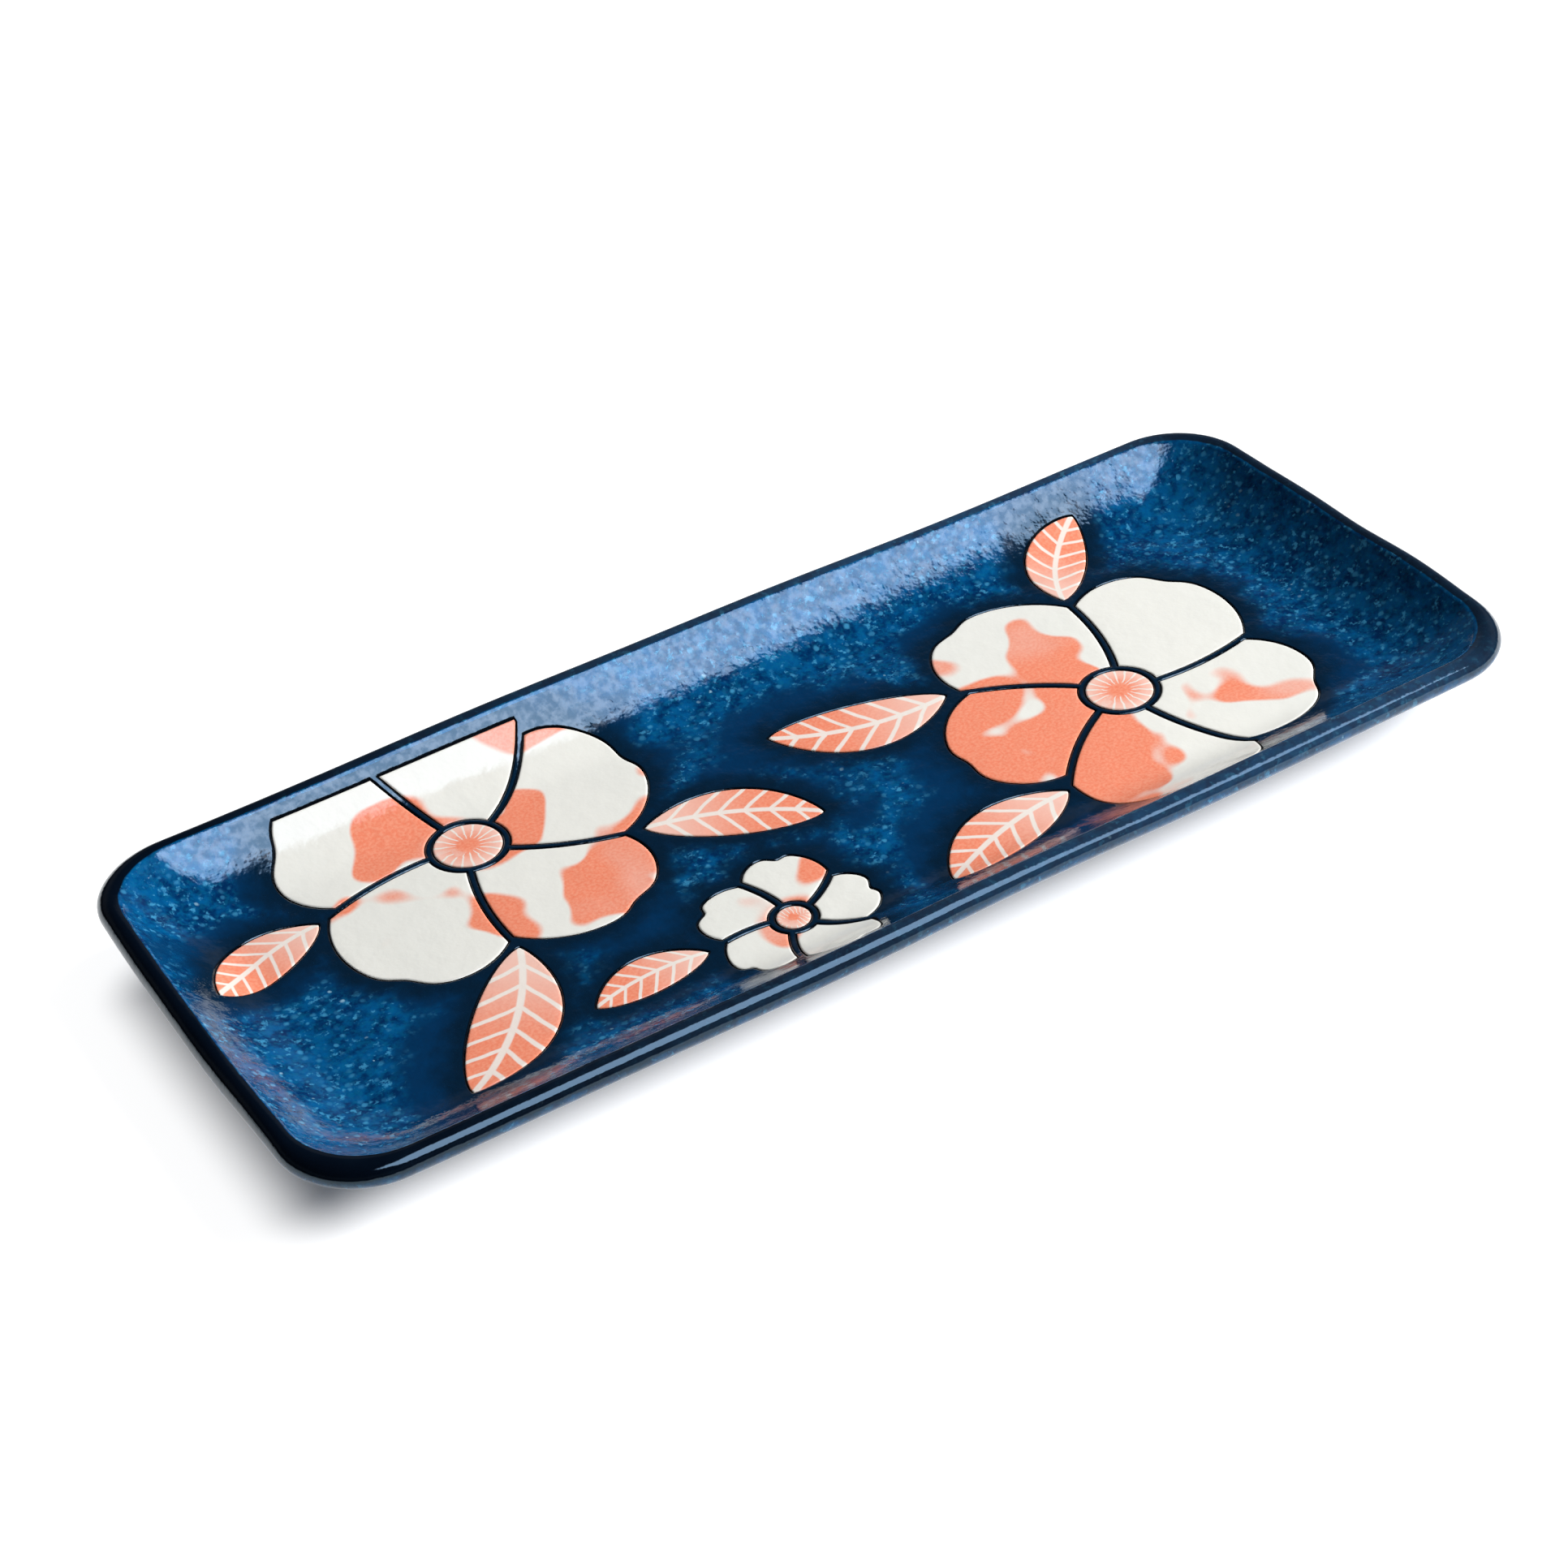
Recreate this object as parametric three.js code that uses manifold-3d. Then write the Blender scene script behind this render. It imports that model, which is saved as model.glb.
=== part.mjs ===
// Rectangular sushi plate: a slab-formed stoneware dish on a low foot ring, coated in deep blue
// glaze, with white glaze blossoms and coral leaves inlaid in windows left in the blue.
// Millimetres, Z up. The foot stands on z = 0, the plate's length lies along X and its middle is
// over the origin. Fired layers are fused in the real plate; here a named gap keeps them apart.
import * as THREE from "three";
import { mergeVertices } from "three/addons/utils/BufferGeometryUtils.js";
import Module from "manifold-3d";

const wasm = await Module();
wasm.setup();

// Outline in plan, over the glazed rim
const PLATE_LENGTH = 305;
const PLATE_WIDTH = 128;
const CORNER_RADIUS = 18.5;
const CORNER_TIGHTENING = 0.85; // share of the corner radius lost by the middle of the plate
const SHORT_SIDE_BOW = 1.6; // outward swell at the middle of each short side
const LONG_SIDE_BOW = 1.05;

// Section through the side
const WELL_DEPTH = 11.5; // crest of the rim to the floor
const RIM_SLOPE = THREE.MathUtils.degToRad(46); // of the wall where it meets the lip
const CLAY_THICKNESS = 4;
const GLAZE_THICKNESS = 0.5;
const FUSE_GAP = 0.3; // kept between two pieces that firing fuses together
const RIM_WAVE = 1.2; // how far the hand-formed rim dips below its crest
const rimWaves = [
  { count: 6, share: 0.3, phase: 0.9 },
  { count: 11, share: 0.2, phase: 2.2 },
];

// Foot ring, a strip of clay joined under the floor
const FOOT_HEIGHT = 4.9; // table to the glazed underside
const FOOT_SETBACK = 4; // from where the wall starts to rise in to the outside of the foot
const FOOT_WIDTH = 6.5;
const FOOT_TAPER = 0.8; // taken off each side between the joint and the table
const FOOT_CHAMFER = 0.6;
const BARE_MARGIN = 2; // clay left unglazed on each side of the foot

// Decoration
const LIP_MARGIN = 7; // plain blue border between the rim and the figures
const LINE_WIDTH = 1.4; // blue line between two petals, and around the heart
const PETALS = 5;
const LOBE_REACH = 0.56; // middle of a petal's round end, as a share of the blossom's radius
const PETAL_TWIST = 0.35; // turn from the heart to the petal's tip, in radians
const PETAL_NOTCH = 1.6;
const NOTCH_SPREAD = 0.1; // in radians
const PETAL_WOBBLE = 0.05; // how far a petal's size strays, as a share
const WOBBLE_STEP = 2.4; // from one petal to the next, in radians
const LEAF_STANDOFF = 4.5; // from the dip between two petals to the base of a leaf
const LEAF_FULLNESS = 0.8; // power of the curve along a leaf's edge; a lower one is blunter

// Each blossom is placed from the middle of the plate. The lip's border crops what runs past it.
const blossoms = {
  right: { x: 74.5, y: -10, radius: 47, heart: 8, turn: 0.35 },
  left: { x: -72.5, y: 31, radius: 46, heart: 8, turn: -0.17 },
  small: { x: -28.5, y: -34, radius: 21, heart: 4, turn: 0.87 },
};

// A leaf grows from the dip after the petal of that number.
const leaves = {
  right_inner: { blossom: "right", dip: 1, tilt: 0.35, length: 43, width: 18, bend: 4 },
  right_lower: { blossom: "right", dip: 2, tilt: -0.35, length: 40, width: 17, bend: -3 },
  right_outer: { blossom: "right", dip: 0, tilt: -0.4, length: 31, width: 15, bend: 3 },
  left_outer: { blossom: "left", dip: 2, tilt: 0.3, length: 31, width: 15, bend: -3 },
  left_lower: { blossom: "left", dip: 3, tilt: -0.5, length: 46, width: 19, bend: 4 },
  left_inner: { blossom: "left", dip: 4, tilt: 0, length: 40, width: 17, bend: 3 },
  small_outer: { blossom: "small", dip: 1, tilt: 0.1, length: 28, width: 12, bend: -2 },
};

// How finely the curves are faceted
const CORNER_STEPS = 6;
const LONG_SIDE_STEPS = 12;
const SHORT_SIDE_STEPS = 6;
const WALL_STEPS = 5;
const LOBE_STEPS = 14;
const PETAL_SIDE_STEPS = 3;
const HEART_STEPS = 24;
const LEAF_STEPS = 10;

// Sizes that follow from the ones above
const HALF_LENGTH = PLATE_LENGTH / 2 - SHORT_SIDE_BOW;
const HALF_WIDTH = PLATE_WIDTH / 2 - LONG_SIDE_BOW;
const CLAY_COVER = GLAZE_THICKNESS + FUSE_GAP;
const SLAB = CLAY_THICKNESS + 2 * CLAY_COVER;
const LIP_RADIUS = SLAB / 2;
const UNDERSIDE = FOOT_HEIGHT;
const FLOOR_TOP = UNDERSIDE + SLAB;
const PLATE_HEIGHT = FLOOR_TOP + WELL_DEPTH;
const LIP_CENTRE = { inset: LIP_RADIUS, z: PLATE_HEIGHT - LIP_RADIUS };
const WALL_TOP = {
  inset: LIP_CENTRE.inset + LIP_RADIUS * Math.sin(RIM_SLOPE),
  z: LIP_CENTRE.z + LIP_RADIUS * Math.cos(RIM_SLOPE),
};
const WALL_RISE = WALL_TOP.z - FLOOR_TOP;
const WALL_RUN = (2 * WALL_RISE) / Math.tan(RIM_SLOPE);
const FLOOR_INSET = WALL_TOP.inset + WALL_RUN;
const FOOT_OUTSIDE = FLOOR_INSET + FOOT_SETBACK;
const FOOT_INSIDE = FOOT_OUTSIDE + FOOT_WIDTH;

// A closed body as a solid for cutting, and a solid back as a mesh's geometry.
function solidFrom(geometry) {
  geometry.deleteAttribute("normal");
  geometry.deleteAttribute("uv");
  const welded = mergeVertices(geometry);
  const triVerts = new Uint32Array(welded.index.array);
  const vertProperties = new Float32Array(welded.attributes.position.array);
  return new wasm.Manifold(new wasm.Mesh({ numProp: 3, vertProperties, triVerts }));
}

function geometryFrom(solid) {
  const mesh = solid.getMesh();
  const geometry = new THREE.BufferGeometry();
  geometry.setAttribute("position", new THREE.BufferAttribute(mesh.vertProperties, 3));
  geometry.setIndex(new THREE.BufferAttribute(mesh.triVerts, 1));
  geometry.computeVertexNormals();
  return geometry;
}

// The plate's outline moved in by an inset: four corner arcs joined by gently bowed sides.
function ring(inset) {
  const radius = CORNER_RADIUS * (1 - CORNER_TIGHTENING * (inset / HALF_WIDTH));
  const reachX = HALF_LENGTH - inset - radius;
  const reachY = HALF_WIDTH - inset - radius;
  const corners = [
    { x: reachX, y: -reachY, from: -Math.PI / 2, along: new THREE.Vector2(0, 2 * reachY) },
    { x: reachX, y: reachY, from: 0, along: new THREE.Vector2(-2 * reachX, 0) },
    { x: -reachX, y: reachY, from: Math.PI / 2, along: new THREE.Vector2(0, -2 * reachY) },
    { x: -reachX, y: -reachY, from: Math.PI, along: new THREE.Vector2(2 * reachX, 0) },
  ];
  const points = [];
  for (const corner of corners) {
    const end = new THREE.Vector2();
    for (let i = 0; i <= CORNER_STEPS; i++) {
      const angle = corner.from + (Math.PI / 2) * (i / CORNER_STEPS);
      end.set(corner.x + radius * Math.cos(angle), corner.y + radius * Math.sin(angle));
      points.push(end.clone());
    }
    const steps = corner.along.x === 0 ? SHORT_SIDE_STEPS : LONG_SIDE_STEPS;
    for (let i = 1; i < steps; i++) {
      points.push(end.clone().addScaledVector(corner.along, i / steps));
    }
  }
  return points.map(bowed);
}

function bowed(point) {
  const swellX = (SHORT_SIDE_BOW / HALF_LENGTH) * (1 - (point.y / HALF_WIDTH) ** 2);
  const swellY = (LONG_SIDE_BOW / HALF_WIDTH) * (1 - (point.x / HALF_LENGTH) ** 2);
  return new THREE.Vector2(point.x * (1 + swellX), point.y * (1 + swellY));
}

// The hand-formed rim is never quite level: a dip that fades out where the wall meets the floor.
function rimDip(point, inset) {
  const around = Math.atan2(point.y / HALF_WIDTH, point.x / HALF_LENGTH);
  let wave = 0.5;
  for (const { count, share, phase } of rimWaves) {
    wave += share * Math.sin(count * around + phase);
  }
  const rise = THREE.MathUtils.clamp(1 - inset / FLOOR_INSET, 0, 1);
  return RIM_WAVE * wave * rise ** 2;
}

// A body swept round the plate's outline. The profile runs outward over the top and back
// underneath. An open one ends in a flat cap at each end; a closed one joins up as a ring.
function sweep(profile, { closed = false } = {}) {
  const rings = profile.map(({ inset }) => ring(inset));
  const around = rings[0].length;
  const positions = [];
  const index = [];
  profile.forEach(({ inset, z }, i) => {
    for (const point of rings[i]) {
      positions.push(point.x, point.y, z - rimDip(point, inset));
    }
  });
  const bands = closed ? profile.length : profile.length - 1;
  for (let i = 0; i < bands; i++) {
    const here = i * around;
    const next = ((i + 1) % profile.length) * around;
    for (let j = 0; j < around; j++) {
      const k = (j + 1) % around;
      index.push(here + j, next + j, next + k);
      index.push(here + j, next + k, here + k);
    }
  }
  if (!closed) {
    const last = (profile.length - 1) * around;
    const top = positions.length / 3;
    positions.push(0, 0, profile[0].z);
    positions.push(0, 0, profile[profile.length - 1].z);
    for (let j = 0; j < around; j++) {
      const k = (j + 1) % around;
      index.push(top, j, k);
      index.push(top + 1, last + k, last + j);
    }
  }
  const geometry = new THREE.BufferGeometry();
  geometry.setAttribute("position", new THREE.Float32BufferAttribute(positions, 3));
  geometry.setIndex(index);
  return solidFrom(geometry);
}

// The wall in section, from the floor to the lip: a parabola, moved into the slab by a depth.
function wall(depth) {
  const points = [];
  for (let i = 0; i <= WALL_STEPS; i++) {
    const t = i / WALL_STEPS;
    const slope = Math.atan(t * Math.tan(RIM_SLOPE));
    points.push({
      inset: FLOOR_INSET - t * WALL_RUN - depth * Math.sin(slope),
      z: FLOOR_TOP + t * t * WALL_RISE - depth * Math.cos(slope),
    });
  }
  return points;
}

// The lip in section, from the inside over the crest and the outermost point to the underside.
function lip(radius) {
  const lastAngle = RIM_SLOPE / 2 - (3 * Math.PI) / 4;
  const angles = [RIM_SLOPE / 2, 0, -Math.PI / 6, -Math.PI / 3, -Math.PI / 2, lastAngle];
  return angles.map((angle) => ({
    inset: LIP_CENTRE.inset + radius * Math.sin(angle),
    z: LIP_CENTRE.z + radius * Math.cos(angle),
  }));
}

// One side of a layer of the slab, from the floor over the lip to the underside.
function skin(depth) {
  return [...wall(depth), ...lip(LIP_RADIUS - depth), ...wall(SLAB - depth).reverse()];
}

function prism(outline) {
  const depth = 2 * PLATE_HEIGHT;
  const shape = new THREE.Shape(outline);
  return solidFrom(new THREE.ExtrudeGeometry(shape, { depth, bevelEnabled: false }));
}

// Where a figure may lie: the inner half of the slab and above, inside the plain border.
function field(gap) {
  const above = sweep([{ inset: LIP_RADIUS, z: 2 * PLATE_HEIGHT }, ...wall(LIP_RADIUS).reverse()]);
  return above.intersect(prism(ring(LIP_MARGIN + gap)));
}

// A petal's round end, as its distance from the blossom's middle at an angle off the petal's axis.
function lobe(radius, angle, gap) {
  const reach = LOBE_REACH * radius;
  const round = radius - reach - gap;
  const notch = PETAL_NOTCH * Math.exp(-((angle / NOTCH_SPREAD) ** 2));
  const chord = Math.max(round ** 2 - (reach * Math.sin(angle)) ** 2, 0);
  return reach * Math.cos(angle) + Math.sqrt(chord) - notch;
}

function onBlossom(blossom, angle, distance) {
  const twisted = angle + (PETAL_TWIST * distance) / blossom.radius;
  const x = blossom.x + distance * Math.cos(twisted);
  const y = blossom.y + distance * Math.sin(twisted);
  return new THREE.Vector2(x, y);
}

// Outline of one petal: its round end, a side, the arc by the heart and the other side.
function petalOutline(blossom, number, gap) {
  const wobble = 1 + PETAL_WOBBLE * Math.sin(WOBBLE_STEP * number + blossom.turn);
  const radius = blossom.radius * wobble;
  const axis = blossom.turn + (2 * Math.PI * number) / PETALS;
  const halfLine = LINE_WIDTH / 2 + gap;
  const inner = blossom.heart + LINE_WIDTH + gap;
  const side = (distance) => Math.PI / PETALS - halfLine / distance;
  const shoulder = lobe(radius, side(radius), gap);
  const points = [];
  for (let i = 0; i <= LOBE_STEPS; i++) {
    const angle = side(shoulder) * ((2 * i) / LOBE_STEPS - 1);
    points.push(onBlossom(blossom, axis + angle, lobe(radius, angle, gap)));
  }
  for (let i = 1; i <= PETAL_SIDE_STEPS; i++) {
    const distance = THREE.MathUtils.lerp(shoulder, inner, i / PETAL_SIDE_STEPS);
    points.push(onBlossom(blossom, axis + side(distance), distance));
  }
  points.push(onBlossom(blossom, axis, inner));
  for (let i = PETAL_SIDE_STEPS; i >= 1; i--) {
    const distance = THREE.MathUtils.lerp(shoulder, inner, i / PETAL_SIDE_STEPS);
    points.push(onBlossom(blossom, axis - side(distance), distance));
  }
  return points;
}

function heartOutline(blossom, gap) {
  const radius = blossom.heart - gap;
  const circle = new THREE.EllipseCurve(blossom.x, blossom.y, radius, radius);
  return circle.getPoints(HEART_STEPS).slice(0, -1);
}

// Outline of a leaf: blunt at both ends, bent along its length.
function leafOutline(leaf, gap) {
  const blossom = blossoms[leaf.blossom];
  const dipAngle = blossom.turn + (2 * Math.PI * (leaf.dip + 0.5)) / PETALS;
  const dipDistance = lobe(blossom.radius, Math.PI / PETALS, 0) + LEAF_STANDOFF;
  const base = onBlossom(blossom, dipAngle, dipDistance);
  const heading = Math.atan2(base.y - blossom.y, base.x - blossom.x) + leaf.tilt;
  const halfLength = leaf.length / 2;
  const points = [];
  for (let i = 0; i < 2 * LEAF_STEPS; i++) {
    const u = -Math.cos((Math.PI * i) / LEAF_STEPS);
    const swell = 1 - u * u;
    const side = i < LEAF_STEPS ? -1 : 1;
    const edge = side * (leaf.width / 2 - gap) * swell ** LEAF_FULLNESS;
    points.push(new THREE.Vector2(halfLength + u * (halfLength - gap), leaf.bend * swell + edge));
  }
  const origin = new THREE.Vector2();
  return points.map((point) => point.rotateAround(origin, heading).add(base));
}

const clay = () => new THREE.MeshStandardMaterial({ color: "#b59a7c", roughness: 0.85, metalness: 0 });
const blue = () => new THREE.MeshStandardMaterial({ color: "#0d3f73", roughness: 0.15, metalness: 0 });
const white = () => new THREE.MeshStandardMaterial({ color: "#efeee8", roughness: 0.15, metalness: 0 });
const coral = () => new THREE.MeshStandardMaterial({ color: "#f3a48d", roughness: 0.15, metalness: 0 });

const group = new THREE.Group();

function add(name, solid, material) {
  const mesh = new THREE.Mesh(geometryFrom(solid), material);
  mesh.name = name;
  group.add(mesh);
}

// Clay
add("clay_slab", sweep(skin(CLAY_COVER)), clay());

const footTop = UNDERSIDE + CLAY_COVER - FUSE_GAP;
const footSection = [
  { inset: FOOT_INSIDE, z: footTop },
  { inset: FOOT_OUTSIDE, z: footTop },
  { inset: FOOT_OUTSIDE + FOOT_TAPER, z: FOOT_CHAMFER },
  { inset: FOOT_OUTSIDE + FOOT_TAPER + FOOT_CHAMFER, z: 0 },
  { inset: FOOT_INSIDE - FOOT_TAPER - FOOT_CHAMFER, z: 0 },
  { inset: FOOT_INSIDE - FOOT_TAPER, z: FOOT_CHAMFER },
];
add("foot_ring", sweep(footSection, { closed: true }), clay());

// Glaze under the floor, inside the foot
const panelEdge = FOOT_INSIDE + BARE_MARGIN;
const panelSection = [
  { inset: panelEdge, z: UNDERSIDE + GLAZE_THICKNESS },
  { inset: panelEdge, z: UNDERSIDE },
];
add("base_glaze", sweep(panelSection), blue());

// Blue glaze over the inside, the lip and the outside, down to a line just short of the foot
const glazeLine = FOOT_OUTSIDE - BARE_MARGIN;
const coat = sweep([
  ...skin(0),
  { inset: glazeLine, z: UNDERSIDE },
  { inset: glazeLine, z: UNDERSIDE + GLAZE_THICKNESS },
  ...skin(GLAZE_THICKNESS).reverse(),
]);

// The figures: each one's outline is a window in the blue and, less the gap, an inlay of its own.
const figures = [];
for (const [place, blossom] of Object.entries(blossoms)) {
  for (let number = 0; number < PETALS; number++) {
    const outline = (gap) => petalOutline(blossom, number, gap);
    figures.push({ name: `${place}_petal_${number + 1}`, outline, material: white });
  }
  figures.push({ name: `${place}_heart`, outline: (gap) => heartOutline(blossom, gap), material: coral });
}
for (const [place, leaf] of Object.entries(leaves)) {
  figures.push({ name: `${place}_leaf`, outline: (gap) => leafOutline(leaf, gap), material: coral });
}

const windowField = field(0);
const inlayLayer = coat.intersect(field(FUSE_GAP));
let pierced = coat;
for (const figure of figures) {
  pierced = pierced.subtract(prism(figure.outline(0)).intersect(windowField));
}
add("blue_glaze", pierced, blue());
for (const figure of figures) {
  add(figure.name, prism(figure.outline(FUSE_GAP)).intersect(inlayLayer), figure.material());
}

export default group;
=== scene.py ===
# %% [markdown]
# # A glazed sushi plate
# The real plate is a slab of fired clay with a glossy blue glaze poured over it. Blossoms and
# leaves of white and coral glaze lie flush in the blue, each in its own window. The construction
# is loaded as a fixed frame, and this lesson remakes the glazes as finer meshes and gives them
# their finish.

# %% Load the frame
import math

import bmesh
import bpy
from mathutils import Matrix, Vector
from mathutils.kdtree import KDTree


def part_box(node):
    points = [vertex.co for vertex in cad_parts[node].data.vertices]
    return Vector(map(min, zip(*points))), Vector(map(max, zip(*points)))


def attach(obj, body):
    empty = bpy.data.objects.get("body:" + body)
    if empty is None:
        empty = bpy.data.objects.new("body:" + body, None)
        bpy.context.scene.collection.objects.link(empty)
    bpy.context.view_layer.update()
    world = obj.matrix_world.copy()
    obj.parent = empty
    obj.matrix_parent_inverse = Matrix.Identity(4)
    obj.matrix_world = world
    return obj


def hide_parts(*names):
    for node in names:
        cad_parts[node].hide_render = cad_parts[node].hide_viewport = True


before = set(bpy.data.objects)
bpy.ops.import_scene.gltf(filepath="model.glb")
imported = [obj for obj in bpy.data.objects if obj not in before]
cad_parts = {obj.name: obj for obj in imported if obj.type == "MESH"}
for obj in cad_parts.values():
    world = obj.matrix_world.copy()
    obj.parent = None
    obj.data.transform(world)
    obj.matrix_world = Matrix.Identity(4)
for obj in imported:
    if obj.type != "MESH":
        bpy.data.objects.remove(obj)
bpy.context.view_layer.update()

scene = bpy.context.scene
print("frame nodes:", len(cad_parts))

# %% [markdown]
# ## The camera
# The photograph looks down on a corner of the plate from the front left, with the frame tipped a
# little. A camera is placed by where it stands and where it aims. The roll is a last turn about
# the line of sight, so it comes after the aim in the product of matrices.

# %% Camera
MM = 0.001
CAMERA_PLACE = Vector((-275.63, -491.38, 430.84)) * MM
CAMERA_AIM = Vector((-11.01, -3.41, 19.2)) * MM
CAMERA_ROLL = math.radians(5.708)
CAMERA_LENS = 72.864
SENSOR_WIDTH = 36
CLIP_START = 10 * MM

camera_data = bpy.data.cameras.new("camera")
camera_data.lens = CAMERA_LENS
camera_data.sensor_width = SENSOR_WIDTH
camera_data.sensor_fit = "HORIZONTAL"
camera_data.clip_start = CLIP_START
camera = bpy.data.objects.new("camera", camera_data)
aim = (CAMERA_AIM - CAMERA_PLACE).to_track_quat("-Z", "Y").to_matrix()
turned = aim @ Matrix.Rotation(-CAMERA_ROLL, 3, "Z")
camera.matrix_world = Matrix.Translation(CAMERA_PLACE) @ turned.to_4x4()
scene.collection.objects.link(camera)
scene.camera = camera
print("camera to plate:", round((CAMERA_AIM - CAMERA_PLACE).length, 3), "m")

# %% [markdown]
# ## The form of the plate
# Seen from above the plate is a rounded rectangle with slightly swollen sides. In section the
# floor is level, the wall curves up as a parabola and the lip is half round. All of it follows
# from a few sizes, and the length and width are read from the frame, so the looks can't drift
# from the solids. The well is a hair shallower than theirs, which keeps the finer, rounder lip
# inside their box.

# %% Sizes
low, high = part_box("blue_glaze")
SHORT_SIDE_BOW = 1.6 * MM
LONG_SIDE_BOW = 1.05 * MM
HALF_LENGTH = (high.x - low.x) / 2 - SHORT_SIDE_BOW
HALF_WIDTH = (high.y - low.y) / 2 - LONG_SIDE_BOW
CORNER_RADIUS = 18.5 * MM
CORNER_TIGHTENING = 0.85
RIM_SLOPE = math.radians(46)
WELL_DEPTH = 11.45 * MM
SLAB = 5.6 * MM
GLAZE_THICKNESS = 0.5 * MM
UNDERSIDE = 4.9 * MM
RIM_WAVE = 1.2 * MM
MEAN_WAVE = 0.5
RIM_WAVES = ((6, 0.3, 0.9), (11, 0.2, 2.2))

FLOOR_TOP = UNDERSIDE + SLAB
LIP_RADIUS = SLAB / 2
LIP_HEIGHT = FLOOR_TOP + WELL_DEPTH - LIP_RADIUS
WALL_TOP_INSET = LIP_RADIUS * (1 + math.sin(RIM_SLOPE))
WALL_RISE = LIP_HEIGHT + LIP_RADIUS * math.cos(RIM_SLOPE) - FLOOR_TOP
WALL_RUN = 2 * WALL_RISE / math.tan(RIM_SLOPE)
FLOOR_INSET = WALL_TOP_INSET + WALL_RUN
print("wall run", round(WALL_RUN / MM, 2), "mm, rise", round(WALL_RISE / MM, 2), "mm")

# %% [markdown]
# A ring is the plate's outline moved in by an inset. Every ring has the same number of points, so
# a surface can be grown from one ring to the next. The hand-formed rim isn't level either: a slow
# wave lowers it here and there, and the wave fades out where the wall meets the floor.

# %% Rings round the plate
CORNER_STEPS = 20
LONG_STEPS = 90
SHORT_STEPS = 32


def bowed(x, y):
    """A point of the plan after the sides have swollen."""
    swell_x = SHORT_SIDE_BOW / HALF_LENGTH * (1 - (y / HALF_WIDTH) ** 2)
    swell_y = LONG_SIDE_BOW / HALF_WIDTH * (1 - (x / HALF_LENGTH) ** 2)
    return Vector((x * (1 + swell_x), y * (1 + swell_y)))


def ring(inset):
    """The outline moved in by an inset, as points that run anticlockwise."""
    radius = CORNER_RADIUS * (1 - CORNER_TIGHTENING * inset / HALF_WIDTH)
    reach = Vector((HALF_LENGTH - inset - radius, HALF_WIDTH - inset - radius))
    points = []
    for quarter, (side_x, side_y) in enumerate(((1, 1), (-1, 1), (-1, -1), (1, -1))):
        start = quarter * math.pi / 2
        for step in range(CORNER_STEPS + 1):
            angle = start + math.pi / 2 * step / CORNER_STEPS
            x = side_x * reach.x + radius * math.cos(angle)
            y = side_y * reach.y + radius * math.sin(angle)
            points.append((x, y))
        steps = SHORT_STEPS if quarter % 2 else LONG_STEPS
        straight = 2 * (reach.y if quarter % 2 else reach.x)
        for step in range(1, steps):
            run = straight * step / steps
            points.append((x - run * math.cos(start), y - run * math.sin(start)))
    return [bowed(*point) for point in points]


def rim_dip(x, y, inset):
    """How far the wavy rim lies below its crest at a point."""
    around = math.atan2(y / HALF_WIDTH, x / HALF_LENGTH)
    swings = [share * math.sin(count * around + phase) for count, share, phase in RIM_WAVES]
    rise = min(max(1 - inset / FLOOR_INSET, 0), 1)
    return RIM_WAVE * (MEAN_WAVE + sum(swings)) * rise**2


def ring_at(inset, height):
    """A ring lifted to its height, with the wave of the rim."""
    return [Vector((p.x, p.y, height - rim_dip(p.x, p.y, inset))) for p in ring(inset)]


print("points round the plate:", len(ring(0)))

# %% [markdown]
# The figures lie on the floor and run up the walls, so the height of the dish is needed at any
# point of the plan. For that the ring through a point is found backwards: the swelling is taken
# out again, and in a corner a quadratic gives the inset whose arc passes through the point.

# %% Height of the dish
UNBOW_ROUNDS = 3


def inset_at(x, y):
    """How far inside the plate's edge a point of the plan lies."""
    flat_x, flat_y = abs(x), abs(y)
    for _ in range(UNBOW_ROUNDS):
        swell_x = SHORT_SIDE_BOW / HALF_LENGTH * (1 - (flat_y / HALF_WIDTH) ** 2)
        swell_y = LONG_SIDE_BOW / HALF_WIDTH * (1 - (flat_x / HALF_LENGTH) ** 2)
        flat_x, flat_y = abs(x) / (1 + swell_x), abs(y) / (1 + swell_y)
    shrink = CORNER_TIGHTENING * CORNER_RADIUS / HALF_WIDTH
    march = 1 - shrink
    out_x = flat_x - HALF_LENGTH + CORNER_RADIUS
    out_y = flat_y - HALF_WIDTH + CORNER_RADIUS
    square = 2 * march**2 - shrink**2
    half = march * (out_x + out_y) + shrink * CORNER_RADIUS
    rest = out_x**2 + out_y**2 - CORNER_RADIUS**2
    if half**2 >= square * rest:
        inset = (math.sqrt(half**2 - square * rest) - half) / square
        if min(out_x, out_y) + march * inset > 0:
            return inset
    return min(HALF_LENGTH - flat_x, HALF_WIDTH - flat_y)


def dish_height(x, y):
    """Height of the glazed surface inside the lip."""
    inset = inset_at(x, y)
    climb = max(FLOOR_INSET - inset, 0) / WALL_RUN
    return FLOOR_TOP + WALL_RISE * climb**2 - rim_dip(x, y, inset)


wall_middle = dish_height(0, HALF_WIDTH - FLOOR_INSET / 2)
print("height at the wall's middle:", round(wall_middle / MM, 2), "mm")

# %% [markdown]
# ## The figures
# Three blossoms of five petals, each round a heart, and seven leaves. Every figure is an outline
# that can be drawn tighter or looser by a gap: the window in the blue uses one gap, the inlay
# another, and the rounded edges of both a few more. All outlines of a figure have the same number
# of points.

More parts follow.
